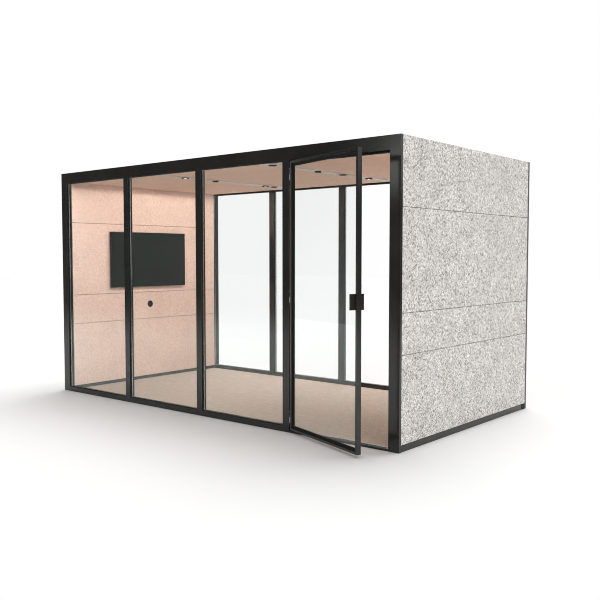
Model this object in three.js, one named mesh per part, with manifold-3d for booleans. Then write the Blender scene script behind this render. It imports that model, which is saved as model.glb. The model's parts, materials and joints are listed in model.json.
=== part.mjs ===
// Acoustic office pod: a free-standing glazed meeting room with felt end walls and a hinged glass door.
// Millimetres, +Z up. X runs along the glazed front, Y runs from the front to the back.
// The origin is on the ground, under the middle of the room.
import * as THREE from "three";
import { mergeVertices } from "three/addons/utils/BufferGeometryUtils.js";
import Module from "manifold-3d";

const kernel = await Module();
kernel.setup();

// Overall size
const DEPTH = 2204; // front face to back face
const HEIGHT = 2300; // ground to roof

// Frame of extruded posts, mullions, head beams and base rails
const BAY = 956; // clear width of one glazed bay
const MULLION = 70; // face width of a mullion
const FRAME_DEPTH = 50; // front to back
const BACK_REVEAL = 42; // the back glazing stands this far inside the back face
const EXTRUSION_WALL = 3;
const BASE_H = 50; // base rails
const HEAD_H = 107; // head beams
const LIP = 28; // a corner post closes the edge of the outer felt with a lip this deep
const POST_CAP = 5; // closed top of a corner post
const SKIRT_RECESS = 3; // the side base rails stand back from the felt
const THRESHOLD_H = 18;
const FLOOR_T = 16;

// End walls, from outside to inside
const FELT_OUT = 25;
const CORE = 67;
const FELT_IN = 20;
const SEAM_LOW = 710; // heights of the seams between the four felt strips
const SEAM_MID = 1017;
const SEAM_HIGH = 1785;
const SEAM = 3; // open joint between two strips

// Sealed double glazing of the fixed bays
const PANE = 6;
const CAVITY = 16;
const SPACER = 12; // width of the edge spacer
const BREATHER = 3; // hole through the top spacer
const GLASS_SETBACK = 10; // outer pane behind the outer face of the mullions

// Roof, ceiling and light channels
const ROOF_T = 18;
const CEILING_DROP = 94; // underside of the ceiling panels below the top
const CEILING_T = 20;
const CHANNEL_X = 680; // the two channels stand this far from the middle
const CHANNEL_FLANGE = 90; // visible width
const CHANNEL_BODY = 70; // width between the ceiling panels
const CHANNEL_WALL = 2;
const CHANNEL_PLATE = 3;
const VENT_SLOTS = 5;
const SLOT_PITCH = 20;
const SLOT_W = 9;
const SLOT_L = 54;

// Extract fan above the right channel
const FAN_Y = 100;
const FAN_SIDE = 120;
const FAN_H = 38;
const FAN_BORE = 112;
const FAN_HUB = 42;
const FAN_SHAFT = 8;
const SHAFT_DROP = 4; // top of the shaft inside the hub
const HUB_DROP = 6; // top of the hub below the top of the housing
const FAN_ARM = 8;
const FAN_ARMS = 4;
const FAN_BLADES = 7;
const BLADE_CHORD = 26;
const BLADE_T = 2;
const BLADE_PITCH = 35; // degrees
const BLADE_TIP_GAP = 4;

// Door leaf, hung in the right bay of the front
const DOOR_REST = 19; // degrees open at rest
const HINGE_GAP = 15; // between the jamb and the leaf, which the hinge barrels fill
const STRIKE_GAP = 10; // between the leaf and the corner post
const DOOR_UNDER = 22; // underside of the leaf above the ground
const DOOR_OVER = 6; // between the leaf and the head beam
const DOOR_FACE = 20; // face width of the leaf frame
const DOOR_T = 36; // thickness of the leaf frame
const DOOR_GLASS = 8;

// Hinges
const HINGE_H = 86;
const HINGE_INSET = 105; // middle of an end hinge from the end of the leaf
const AXIS_INSET = 5; // hinge axis behind the front face
const KNUCKLE = 13; // diameter of the barrel
const PIN = 6;
const PIN_DROP = 4; // top of the pin inside the upper knuckle
const HINGE_PLATE = 3;

// Pulls on the free stile
const PULL_Z = 1108;
const PULL_H = 115;
const PULL_BASE = 28; // width of the plate on the stile
const PULL_EDGE = 3; // plate from the free edge of the leaf
const PULL_T = 4;
const PULL_OUT = 46; // outer grip
const PULL_IN = 34; // inner grip
const INNER_GRIP_EDGE = 17; // inner grip from the free edge, beside the studs
const STUD = 6;
const STUD_PITCH = 70;

// Screen on the left wall
const SCREEN_W = 1072;
const SCREEN_H = 618;
const SCREEN_T = 28;
const SCREEN_Y = -50;
const SCREEN_Z = 1394;
const BRACKET_W = 440;
const BRACKET_H = 200;
const BRACKET_PLATE = 4;
const BRACKET_RAIL_W = 30;
const BRACKET_RAIL_H = 400;
const BRACKET_RAIL_T = 10;

const CLEAR = 0.3; // working gap between fitted pieces
const ROUND = 24; // sides of a small turned surface
const BAYS = 4;

// Places that follow from the sizes
const CORNER = MULLION + FELT_OUT;
const HALF_W = (BAYS * BAY + (BAYS - 1) * MULLION) / 2 + CORNER;
const HALF_D = DEPTH / 2;
const POST_IN = HALF_W - CORNER; // inner side of a corner post
const WALL_MID = HALF_W - FELT_OUT; // outer face of the core
const FELT_BACK = WALL_MID - CORE; // back of the inner felt
const WALL_IN = FELT_BACK - FELT_IN; // face of the inner felt
const FRONT = -HALF_D;
const FRONT_IN = FRONT + FRAME_DEPTH;
const BACK_OUT = HALF_D - BACK_REVEAL;
const BACK_IN = BACK_OUT - FRAME_DEPTH;
const HEAD_Z = HEIGHT - HEAD_H;
const CORE_TOP = HEIGHT - ROOF_T;
const CEILING_Z = HEIGHT - CEILING_DROP;
const CEILING_TOP = CEILING_Z + CEILING_T;
const PITCH = BAY + MULLION;
const JAMB_EDGE = POST_IN - BAY; // right side of the hinge jamb
const UNIT_T = 2 * PANE + CAVITY;

const colour = (hex, roughness, metalness) =>
  new THREE.MeshStandardMaterial({ color: hex, roughness, metalness });
const FRAME_BLACK = colour(0x232322, 0.38, 0.2);
const FELT_GREY = colour(0xcdc9c4, 0.95, 0);
const FELT_PEACH = colour(0xe6c6b2, 0.95, 0);
const CEILING_PEACH = colour(0xd2b09a, 0.95, 0);
const WOOL = colour(0xb8ab8c, 0.98, 0);
const CARPET = colour(0xab9a8c, 0.98, 0);
const CLEAR_GLASS = new THREE.MeshStandardMaterial({
  color: 0xd6e6df,
  roughness: 0.04,
  metalness: 0,
  transparent: true,
  opacity: 0.28,
});
const ROOF_GREY = colour(0x3c3d3e, 0.6, 0.1);
const CHANNEL_GREY = colour(0xb4bab6, 0.45, 0.3);
const FAN_BLACK = colour(0x1b1b1c, 0.55, 0);
const HINGE_STEEL = colour(0x2e2e2d, 0.35, 0.8);
const SCREEN_BLACK = colour(0x101413, 0.18, 0);
const BRACKET_BLACK = colour(0x262626, 0.5, 0.5);

const pod = new THREE.Group();
pod.name = "acoustic_pod";

function piece(name, geometry, material, parent = pod) {
  const mesh = new THREE.Mesh(geometry, material);
  mesh.name = name;
  parent.add(mesh);
  return mesh;
}

// A box between two limits on each axis
function block([x0, x1], [y0, y1], [z0, z1]) {
  const box = new THREE.BoxGeometry(x1 - x0, y1 - y0, z1 - z0);
  return box.translate((x0 + x1) / 2, (y0 + y1) / 2, (z0 + z1) / 2);
}

// A plan outline, given as [x, y] corners, raised between two heights
function raised(corners, [z0, z1]) {
  const outline = new THREE.Shape(corners.map(([x, y]) => new THREE.Vector2(x, y)));
  const geometry = new THREE.ExtrudeGeometry(outline, { depth: z1 - z0, bevelEnabled: false });
  return geometry.translate(0, 0, z0);
}

function cylinder(radius, [z0, z1], sides = ROUND) {
  const turned = new THREE.CylinderGeometry(radius, radius, z1 - z0, sides);
  return turned.rotateX(Math.PI / 2).translate(0, 0, (z0 + z1) / 2);
}

function solid(geometry) {
  const loose = geometry.index ? geometry.toNonIndexed() : geometry;
  const bare = new THREE.BufferGeometry();
  bare.setAttribute("position", loose.getAttribute("position"));
  const welded = mergeVertices(bare, 1e-4);
  return new kernel.Manifold(
    new kernel.Mesh({
      numProp: 3,
      vertProperties: welded.getAttribute("position").array,
      triVerts: new Uint32Array(welded.index.array),
    }),
  );
}

function surface(body) {
  const mesh = body.getMesh();
  const geometry = new THREE.BufferGeometry();
  geometry.setAttribute("position", new THREE.BufferAttribute(mesh.vertProperties, 3));
  geometry.setIndex(new THREE.BufferAttribute(mesh.triVerts, 1));
  const faceted = geometry.toNonIndexed();
  faceted.computeVertexNormals();
  return faceted;
}

function cut(geometry, ...tools) {
  return surface(tools.reduce((body, tool) => body.subtract(solid(tool)), solid(geometry)));
}

function join(...parts) {
  return surface(parts.map(solid).reduce((body, part) => body.add(part)));
}

// A hollow extrusion, open at both ends of one axis
function extrusion(spans, axis) {
  const inner = spans.map(([a, b], i) =>
    i === axis ? [a - 1, b + 1] : [a + EXTRUSION_WALL, b - EXTRUSION_WALL],
  );
  return cut(block(...spans), block(...inner));
}

const SIDES = [
  ["left", -1],
  ["right", 1],
];
const mirrored = (sign, a, b) => (sign > 0 ? [a, b] : [-b, -a]);

// Base rails, threshold and floor
piece(
  "base_rail_front",
  extrusion([[-POST_IN, JAMB_EDGE], [FRONT, FRONT_IN], [0, BASE_H]], 0),
  FRAME_BLACK,
);
piece(
  "base_rail_back",
  extrusion([[-POST_IN, POST_IN], [BACK_IN, HALF_D], [0, BASE_H]], 0),
  FRAME_BLACK,
);
piece(
  "door_threshold",
  block([JAMB_EDGE, POST_IN], [FRONT, FRONT_IN], [0, THRESHOLD_H]),
  FRAME_BLACK,
);
for (const [side, sign] of SIDES) {
  const inner = sign * (WALL_IN + SKIRT_RECESS);
  const middle = sign * WALL_MID;
  const outer = sign * (HALF_W - SKIRT_RECESS);
  piece(
    "base_rail_" + side,
    raised(
      [
        [inner, FRONT_IN],
        [middle, FRONT_IN],
        [middle, FRONT + LIP],
        [outer, FRONT + LIP],
        [outer, BACK_IN],
        [inner, BACK_IN],
      ],
      [0, BASE_H],
    ),
    FRAME_BLACK,
  );
}
const floorX = WALL_IN + SKIRT_RECESS - CLEAR;
piece(
  "floor_panel",
  block([-floorX, floorX], [FRONT_IN + CLEAR, BACK_IN - CLEAR], [0, FLOOR_T]),
  CARPET,
);

// Corner posts: hollow, with a closed top and a lip beside the outer felt
for (const [side, sign] of SIDES) {
  for (const [end, face, inside, way] of [
    ["front", FRONT, FRONT_IN, 1],
    ["back", HALF_D, BACK_IN, -1],
  ]) {
    const lip = face + way * LIP;
    const outline = raised(
      [
        [sign * POST_IN, face],
        [sign * HALF_W, face],
        [sign * HALF_W, lip],
        [sign * WALL_MID, lip],
        [sign * WALL_MID, inside],
        [sign * POST_IN, inside],
      ],
      [0, HEIGHT],
    );
    const bore = block(
      mirrored(sign, POST_IN + EXTRUSION_WALL, WALL_MID - EXTRUSION_WALL),
      [Math.min(face, inside) + EXTRUSION_WALL, Math.max(face, inside) - EXTRUSION_WALL],
      [-1, HEIGHT - POST_CAP],
    );
    piece(`post_${end}_${side}`, cut(outline, bore), FRAME_BLACK);
  }
}

// Mullions stand on the base rails and carry the head beams; the right front one is the hinge jamb
const mullionX = [-PITCH, 0, PITCH];
const frontNames = ["mullion_front_left", "mullion_front_middle", "hinge_jamb"];
const backNames = ["mullion_back_left", "mullion_back_middle", "mullion_back_right"];
mullionX.forEach((x, i) => {
  const across = [x - MULLION / 2, x + MULLION / 2];
  const up = [BASE_H, HEAD_Z];
  piece(frontNames[i], extrusion([across, [FRONT, FRONT_IN], up], 2), FRAME_BLACK);
  piece(backNames[i], extrusion([across, [BACK_IN, BACK_OUT], up], 2), FRAME_BLACK);
});

// Head beams
const headX = [-POST_IN, POST_IN];
const headUp = [HEAD_Z, HEIGHT];
piece("head_beam_front", extrusion([headX, [FRONT, FRONT_IN], headUp], 0), FRAME_BLACK);
piece("head_beam_back", extrusion([headX, [BACK_IN, HALF_D], headUp], 0), FRAME_BLACK);

// End walls: core, and four felt strips on each face
const stripName = ["bottom", "lower", "upper", "top"];
const outerEdges = [BASE_H, SEAM_LOW, SEAM_MID, SEAM_HIGH, HEIGHT + SEAM];
const innerEdges = [BASE_H - SEAM, SEAM_LOW, SEAM_MID, SEAM_HIGH, CEILING_Z];
for (const [side, sign] of SIDES) {
  const coreX = mirrored(sign, FELT_BACK, WALL_MID);
  const outX = mirrored(sign, WALL_MID, HALF_W);
  const inX = mirrored(sign, WALL_IN, FELT_BACK);
  piece("wall_core_" + side, block(coreX, [FRONT_IN, BACK_IN], [BASE_H, CORE_TOP]), WOOL);
  stripName.forEach((strip, i) => {
    const outUp = [outerEdges[i] + SEAM, outerEdges[i + 1] - (i === 3 ? SEAM : 0)];
    const inUp = [innerEdges[i] + SEAM, innerEdges[i + 1]];
    const outY = [FRONT + LIP + CLEAR, HALF_D - LIP - CLEAR];
    piece(`felt_outer_${side}_${strip}`, block(outX, outY, outUp), FELT_GREY);
    piece(`felt_inner_${side}_${strip}`, block(inX, [FRONT_IN, BACK_IN], inUp), FELT_PEACH);
  });
}

// Sealed glazing units: two panes on a spacer, with a breather hole at the top
function glazing(middle, [y0, y1]) {
  const half = BAY / 2 - CLEAR;
  const low = BASE_H + CLEAR;
  const high = HEAD_Z - CLEAR;
  const unit = block([middle - half, middle + half], [y0, y1], [low, high]);
  const gap = block(
    [middle - half + SPACER, middle + half - SPACER],
    [y0 + PANE, y1 - PANE],
    [low + SPACER, high - SPACER],
  );
  const hole = cylinder(BREATHER / 2, [high - SPACER - 1, high + 1], 8);
  return cut(unit, gap, hole.translate(middle, (y0 + y1) / 2, 0));
}
const bayX = [-1.5 * PITCH, -0.5 * PITCH, 0.5 * PITCH, 1.5 * PITCH];
const frontUnit = [FRONT + GLASS_SETBACK, FRONT + GLASS_SETBACK + UNIT_T];
const backUnit = [BACK_OUT - GLASS_SETBACK - UNIT_T, BACK_OUT - GLASS_SETBACK];
bayX.forEach((x, i) => {
  if (i < BAYS - 1) piece("glazing_front_" + (i + 1), glazing(x, frontUnit), CLEAR_GLASS);
  piece("glazing_back_" + (i + 1), glazing(x, backUnit), CLEAR_GLASS);
});

// Rows of air slots, as cutters across a plate
function slots(x, y, [z0, z1]) {
  return Array.from({ length: VENT_SLOTS }, (_, i) => {
    const at = y + (i - (VENT_SLOTS - 1) / 2) * SLOT_PITCH;
    return block([x - SLOT_L / 2, x + SLOT_L / 2], [at - SLOT_W / 2, at + SLOT_W / 2], [z0, z1]);
  });
}

// Roof panel, with an air outlet above the fan and an inlet above the left channel
const roofX = WALL_MID - CLEAR;
const acrossRoof = [FRONT_IN + CLEAR, BACK_IN - CLEAR];
const throughRoof = [CORE_TOP - 1, HEIGHT + 1];
piece(
  "roof_panel",
  cut(
    block([-roofX, roofX], acrossRoof, [CORE_TOP, HEIGHT]),
    ...slots(CHANNEL_X, FAN_Y, throughRoof),
    ...slots(-CHANNEL_X, FAN_Y, throughRoof),
  ),
  ROOF_GREY,
);

// Ceiling panels lie on the inner felt and on the flanges of the light channels
const ceilingUp = [CEILING_Z, CEILING_TOP];
const besideChannel = CHANNEL_BODY / 2 + CLEAR;
const ceilingEdge = FELT_BACK - CLEAR;
const ceilingSpans = {
  ceiling_panel_left: [-ceilingEdge, -CHANNEL_X - besideChannel],
  ceiling_panel_middle: [-CHANNEL_X + besideChannel, CHANNEL_X - besideChannel],
  ceiling_panel_right: [CHANNEL_X + besideChannel, ceilingEdge],
};
for (const [name, span] of Object.entries(ceilingSpans)) {
  piece(name, block(span, acrossRoof, ceilingUp), CEILING_PEACH);
}

// Light channels: a tray between the ceiling panels, with a flange under their edges
for (const [side, sign] of SIDES) {
  const x = sign * CHANNEL_X;
  const flange = [x - CHANNEL_FLANGE / 2, x + CHANNEL_FLANGE / 2];
  const body = [x - CHANNEL_BODY / 2, x + CHANNEL_BODY / 2];
  const inside = [body[0] + CHANNEL_WALL, body[1] - CHANNEL_WALL];
  const plate = block(flange, acrossRoof, [CEILING_Z - CHANNEL_PLATE, CEILING_Z]);
  const tray = block(body, acrossRoof, [CEILING_Z - 1, CEILING_TOP]);
  const hollow = block(inside, [acrossRoof[0] - 1, acrossRoof[1] + 1], [CEILING_Z, CEILING_TOP + 1]);
  const air = slots(x, FAN_Y, [CEILING_Z - CHANNEL_PLATE - 1, CEILING_Z + 1]);
  piece("light_channel_" + side, cut(join(plate, tray), hollow, ...air), CHANNEL_GREY);
}

// Extract fan: a square housing whose arms carry the shaft, and a rotor on it
const fanBase = CEILING_TOP + CLEAR;
const fanTop = fanBase + FAN_H;
const fanHalf = FAN_SIDE / 2;
const hubLow = fanBase + FAN_ARM + CLEAR;
const hubHigh = fanTop - HUB_DROP;
function aboutFan(geometry) {
  return geometry.translate(CHANNEL_X, FAN_Y, 0);
}
function fanHousing() {
  const shell = block([-fanHalf, fanHalf], [-fanHalf, fanHalf], [fanBase, fanTop]);
  const ring = cut(shell, cylinder(FAN_BORE / 2, [fanBase - 1, fanTop + 1], 2 * ROUND));
  const arms = Array.from({ length: FAN_ARMS }, (_, i) => {
    const arm = block([0, FAN_BORE / 2 + 1], [-FAN_ARM / 2, FAN_ARM / 2], [fanBase, fanBase + FAN_ARM]);
    return arm.rotateZ((2 * Math.PI * i) / FAN_ARMS);
  });
  const boss = cylinder(FAN_HUB / 2, [fanBase, fanBase + FAN_ARM]);
  const shaft = cylinder(FAN_SHAFT / 2, [fanBase, hubHigh - SHAFT_DROP]);
  return aboutFan(join(ring, ...arms, boss, shaft));
}
function fanRotor() {
  const hub = cylinder(FAN_HUB / 2, [hubLow, hubHigh]);
  const inner = FAN_HUB / 2 - 3;
  const outer = FAN_BORE / 2 - BLADE_TIP_GAP;
  const blades = Array.from({ length: FAN_BLADES }, (_, i) => {
    const half = BLADE_CHORD / 2;
    const blade = block([inner, outer], [-half, half], [-BLADE_T / 2, BLADE_T / 2]);
    blade.rotateX(THREE.MathUtils.degToRad(BLADE_PITCH));
    blade.translate(0, 0, (hubLow + hubHigh) / 2);
    return blade.rotateZ((2 * Math.PI * i) / FAN_BLADES);
  });
  const bore = cylinder(FAN_SHAFT / 2 + CLEAR + 0.1, [hubLow - 1, hubHigh - SHAFT_DROP + 1]);
  return aboutFan(cut(join(hub, ...blades), bore));
}
piece("fan_housing", fanHousing(), FAN_BLACK);
piece("fan_rotor", fanRotor(), FAN_BLACK);

// Door leaf, drawn shut about the hinge axis and then turned to its open rest
const hingeX = JAMB_EDGE + HINGE_GAP / 2;
const hingeY = FRONT + AXIS_INSET;
const leafLow = DOOR_UNDER;
const leafHigh = HEAD_Z - DOOR_OVER;
const leafNear = HINGE_GAP / 2;
const leafFar = leafNear + BAY - HINGE_GAP - STRIKE_GAP;
const leafOut = -AXIS_INSET;
const leafIn = leafOut + DOOR_T;
const hingeZ = [leafHigh - HINGE_INSET, (leafLow + leafHigh) / 2, leafLow + HINGE_INSET];
const hingeNames = ["hinge_top", "hinge_middle", "hinge_bottom"];
const pinTop = HINGE_H / 2 - PIN_DROP;
const boreRadius = PIN / 2 + 0.4;
const studHeights = [PULL_Z - STUD_PITCH / 2, PULL_Z + STUD_PITCH / 2];
const pullX = [leafFar - PULL_EDGE - PULL_BASE, leafFar - PULL_EDGE];
const studX = leafFar - DOOR_FACE / 2;

const door = new THREE.Group();
door.name = "door";
door.position.set(hingeX, hingeY, 0);
door.rotation.z = -THREE.MathUtils.degToRad(DOOR_REST);
pod.add(door);

function across(radius, [y0, y1], x, z) {
  const bar = new THREE.CylinderGeometry(radius, radius, y1 - y0, 16);
  return bar.translate(x, (y0 + y1) / 2, z);
}

function doorFrame() {
  const leaf = block([leafNear, leafFar], [leafOut, leafIn], [leafLow, leafHigh]);
  const opening = block(
    [leafNear + DOOR_FACE, leafFar - DOOR_FACE],
    [leafOut - 1, leafIn + 1],
    [leafLow + DOOR_FACE, leafHigh - DOOR_FACE],
  );
  const knuckles = hingeZ.flatMap((z) => {
    const up = [z + CLEAR, z + HINGE_H / 2];
    const plate = block([leafNear - HINGE_PLATE, leafNear + 1], [-2, leafIn - 4], up);
    return [cylinder(KNUCKLE / 2, up), plate];
  });
  const bores = hingeZ.map((z) => cylinder(boreRadius, [z - 1, z + pinTop + 1]));
  const holes = studHeights.map((z) =>
    across(STUD / 2 + 0.4, [leafOut - 1, leafIn + 1], studX, z),
  );
  return cut(join(cut(leaf, opening), ...knuckles), ...bores, ...holes);
}
piece("door_frame", doorFrame(), FRAME_BLACK, door);

const paneY = (leafOut + leafIn) / 2;
piece(
  "door_glass",
  block(
    [leafNear + DOOR_FACE + CLEAR, leafFar - DOOR_FACE - CLEAR],
    [paneY - DOOR_GLASS / 2, paneY + DOOR_GLASS / 2],
    [leafLow + DOOR_FACE + CLEAR, leafHigh - DOOR_FACE - CLEAR],
  ),
  CLEAR_GLASS,
  door,
);

// Pulls: bent plates on both faces of the free stile, held by two studs through it
const pullUp = [PULL_Z - PULL_H / 2, PULL_Z + PULL_H / 2];
const gripX = [pullX[0], pullX[0] + PULL_T];
const outFace = leafOut - CLEAR;
const inFace = leafIn + CLEAR;
const outerPlate = block(pullX, [outFace - PULL_T, outFace], pullUp);
const outerGrip = block(gripX, [outFace - PULL_OUT, outFace], pullUp);
const studs = studHeights.map((z) => across(STUD / 2, [outFace - 1, inFace + PULL_T - 1], studX, z));
piece("pull_outer", join(outerPlate, outerGrip, ...studs), FRAME_BLACK, door);
const innerPlate = block(pullX, [inFace, inFace + PULL_T], pullUp);
const innerGripX = [leafFar - INNER_GRIP_EDGE - PULL_T, leafFar - INNER_GRIP_EDGE];
const innerGrip = block(innerGripX, [inFace, inFace + PULL_IN], pullUp);
const innerHoles = studHeights.map((z) =>
  across(STUD / 2 + 0.4, [inFace - 1, inFace + PULL_T + 1], studX, z),
);
piece("pull_inner", cut(join(innerPlate, innerGrip), ...innerHoles), FRAME_BLACK, door);

// Lower hinge halves with their pins, on the side of the jamb
hingeZ.forEach((z, i) => {
  const up = [z - HINGE_H / 2, z];
  const barrel = cylinder(KNUCKLE / 2, up);
  const plate = block([-HINGE_GAP / 2, -HINGE_GAP / 2 + HINGE_PLATE], [-2, FRAME_DEPTH / 2], up);
  const pin = cylinder(PIN / 2, [z - 1, z + pinTop]);
  const half = join(barrel, plate, pin).translate(hingeX, hingeY, 0);
  piece(hingeNames[i], half, HINGE_STEEL);
});

// Screen on its wall bracket
const wallFace = -WALL_IN;
const railBack = wallFace + BRACKET_PLATE - 1;
const railFace = wallFace + BRACKET_PLATE + BRACKET_RAIL_T;
const screenBack = railFace + CLEAR;
const railOffset = BRACKET_W / 2 - BRACKET_RAIL_W;
const bracketRail = (y) =>
  block(
    [railBack, railFace],
    [y - BRACKET_RAIL_W / 2, y + BRACKET_RAIL_W / 2],
    [SCREEN_Z - BRACKET_RAIL_H / 2, SCREEN_Z + BRACKET_RAIL_H / 2],
  );
const wallPlate = block(
  [wallFace, wallFace + BRACKET_PLATE],
  [SCREEN_Y - BRACKET_W / 2, SCREEN_Y + BRACKET_W / 2],
  [SCREEN_Z - BRACKET_H / 2, SCREEN_Z + BRACKET_H / 2],
);
piece(
  "screen_bracket",
  join(wallPlate, bracketRail(SCREEN_Y - railOffset), bracketRail(SCREEN_Y + railOffset)),
  BRACKET_BLACK,
);
piece(
  "screen",
  block(
    [screenBack, screenBack + SCREEN_T],
    [SCREEN_Y - SCREEN_W / 2, SCREEN_Y + SCREEN_W / 2],
    [SCREEN_Z - SCREEN_H / 2, SCREEN_Z + SCREEN_H / 2],
  ),
  SCREEN_BLACK,
);

export default pod;
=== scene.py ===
# %% [markdown]
# # Dressing an acoustic office pod
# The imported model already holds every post, rail, wall board and hinge at its real size. This lesson keeps
# that frame where it is and adds what the eye expects: felt, powder coat, double glazing, seals and lamps.

# %% Load the frame
import json
import math

import bmesh
import bpy
from mathutils import Matrix, Vector, noise


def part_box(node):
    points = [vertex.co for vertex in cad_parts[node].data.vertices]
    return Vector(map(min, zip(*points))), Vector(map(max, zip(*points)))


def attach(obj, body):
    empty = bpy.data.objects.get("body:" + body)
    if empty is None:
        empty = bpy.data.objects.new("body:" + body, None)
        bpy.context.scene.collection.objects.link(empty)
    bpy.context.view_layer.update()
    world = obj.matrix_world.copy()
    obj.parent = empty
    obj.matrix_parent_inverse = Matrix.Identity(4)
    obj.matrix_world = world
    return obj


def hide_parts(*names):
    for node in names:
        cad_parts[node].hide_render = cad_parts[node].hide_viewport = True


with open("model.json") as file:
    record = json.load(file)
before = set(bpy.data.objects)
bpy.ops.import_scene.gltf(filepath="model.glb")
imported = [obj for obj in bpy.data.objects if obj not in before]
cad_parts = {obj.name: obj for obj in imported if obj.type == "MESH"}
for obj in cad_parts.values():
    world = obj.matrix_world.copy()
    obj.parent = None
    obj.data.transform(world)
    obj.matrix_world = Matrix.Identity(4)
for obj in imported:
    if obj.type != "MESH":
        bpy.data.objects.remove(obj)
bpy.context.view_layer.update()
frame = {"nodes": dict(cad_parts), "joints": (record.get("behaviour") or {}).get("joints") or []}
nodes = frame["nodes"]

# %% [markdown]
# ## Camera
# A picture of a room-sized object is taken from several metres away with a normal lens. The lens and the
# stand-point could be set by eye, but the long edges of a box run together towards far points, and those
# give both. The values below were worked out that way, so the picture needs no shift.

# %% Camera
LENS_MM = 46.5
SENSOR_MM = 36.0
CAMERA_PLACE = (5.118, -5.824, 1.427)
CAMERA_TURN = 39.85
CAMERA_TILT = -3.2

scene = bpy.context.scene
camera_data = bpy.data.cameras.new("camera")
camera_data.lens = LENS_MM
camera_data.sensor_width = SENSOR_MM
camera = bpy.data.objects.new("camera", camera_data)
camera.location = CAMERA_PLACE
camera.rotation_euler = (math.radians(90 + CAMERA_TILT), 0, math.radians(CAMERA_TURN))
scene.collection.objects.link(camera)
scene.camera = camera
scene.view_settings.view_transform = "Standard"
print("camera with a", camera_data.lens, "mm lens")

# %% [markdown]
# ## Paths of light
# Looking through the room, one ray crosses several sheets of glass in front and behind. Each sheet has two
# faces, so the number of clear faces that a ray may cross is raised, or the far glass would turn black.
# The fibres of the felt are about a pixel wide in the picture, so the filter that blurs each pixel into
# the next is narrowed to keep them crisp.

# %% Light paths
CLEAR_FACES = 40
PIXEL_FILTER = 1.0
scene.cycles.transparent_max_bounces = CLEAR_FACES
scene.cycles.use_denoising = True
scene.cycles.filter_width = PIXEL_FILTER
print("a ray may cross", scene.cycles.transparent_max_bounces, "clear faces")

# %% [markdown]
# ## Small mesh tools
# Most trim on the pod is one of a few shapes: a board between two corners, a strip mitred round a
# rectangle, a straight bar, a turned part or a padded panel. Shaping each one by hand would freeze its
# size. Instead each shape gets a helper that builds it with bmesh from named sizes and from the boxes of
# the frame. Three helpers come here, and the others where they are first needed.

# %% Boards and mitred strips
def board(mesh, low, high):
    """A plain board between two corners."""
    low, high = Vector(low), Vector(high)
    place = Matrix.Translation((low + high) / 2) @ Matrix.Diagonal((*(high - low), 1))
    bmesh.ops.create_cube(mesh, size=1, matrix=place)


def mitred_strip(mesh, rectangle, profile, turn=Matrix.Identity(4)):
    """A closed profile of (inset, depth) points, swept round an upright rectangle with mitred corners."""
    left, right, low, high = rectangle
    corners = [(left, low, 1, 1), (right, low, -1, 1), (right, high, -1, -1), (left, high, 1, -1)]
    rings = []
    for x, z, inward_x, inward_z in corners:
        points = [Vector((x + inward_x * inset, depth, z + inward_z * inset)) for inset, depth in profile]
        rings.append([mesh.verts.new(turn @ point) for point in points])
    count = len(profile)
    for i, ring in enumerate(rings):
        after = rings[(i + 1) % len(rings)]
        for k in range(count):
            mesh.faces.new((ring[k], ring[(k + 1) % count], after[(k + 1) % count], after[k]))


print("boards and mitred strips ready")

# %% [markdown]
# ### Turned parts
# Caps, nuts, lamps and screws are round. A cylinder with a bevel has the same edge all over, so the helper
# takes half of a section, as it is drawn for a lathe, and sweeps it round the axis. A section that starts
# off the axis closes on itself and gives a ring.

# %% Turned parts
TURNED_SIDES = 28


def turned(mesh, outline, place, toward, sides=TURNED_SIDES):
    """A lathe part: (radius, height) points from the axis back to the axis, or a closed ring."""
    turn = Vector((0, 0, 1)).rotation_difference(Vector(toward)).to_matrix()
    rings = []
    for radius, height in outline:
        if radius == 0:
            rings.append([mesh.verts.new(turn @ Vector((0, 0, height)) + Vector(place))])
            continue
        ring = []
        for i in range(sides):
            angle = 2 * math.pi * i / sides
            point = Vector((radius * math.cos(angle), radius * math.sin(angle), height))
            ring.append(mesh.verts.new(turn @ point + Vector(place)))
        rings.append(ring)
    pairs = list(zip(rings, rings[1:]))
    if outline[0][0] > 0:
        pairs.append((rings[-1], rings[0]))
    for first, second in pairs:
        for i in range(sides):
            j = (i + 1) % sides
            if len(first) == 1:
                mesh.faces.new((first[0], second[i], second[j]))
            elif len(second) == 1:
                mesh.faces.new((first[i], second[0], first[j]))
            else:
                mesh.faces.new((first[i], second[i], second[j], first[j]))


print("turned parts have", TURNED_SIDES, "sides")

# %% [markdown]
# ### Pieces with eased edges
# No real edge is perfectly sharp: paint and rubber round it, and that thin rounding catches the light.
# Rounding the mesh itself would make every shape harder to build, so a bevel modifier does it, and
# weighted normals keep the flat faces flat. Each piece then rides on a body of the frame, so that the
# door's trim moves with the door.

# %% Pieces
HARD_EDGE = math.radians(40)
FLAT_WEIGHT = 100


def ease_edges(piece, radius, steps=2):
    """Rounds the hard edges a little, so that they catch the light as a coated edge does."""
    if radius > 0:
        bevel = piece.modifiers.new("eased edge", "BEVEL")
        bevel.width = radius
        bevel.segments = steps
        bevel.limit_method = "ANGLE"
        bevel.angle_limit = HARD_EDGE
    normals = piece.modifiers.new("even normals", "WEIGHTED_NORMAL")
    normals.weight = FLAT_WEIGHT
    normals.keep_sharp = False


def add_piece(name, mesh, finish, body="root", ease=0.0, steps=2):
    """Makes the mesh a piece that rides on a body, with its edges eased by that radius."""
    bmesh.ops.recalc_face_normals(mesh, faces=mesh.faces)
    data = bpy.data.meshes.new(name)
    mesh.to_mesh(data)
    mesh.free()
    for face in data.polygons:
        face.use_smooth = True
    piece = bpy.data.objects.new(name, data)
    scene.collection.objects.link(piece)
    piece.data.materials.append(finish)
    ease_edges(piece, ease, steps)
    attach(piece, body)
    return piece


print("edges sharper than", round(math.degrees(HARD_EDGE)), "degrees are eased")

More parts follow.
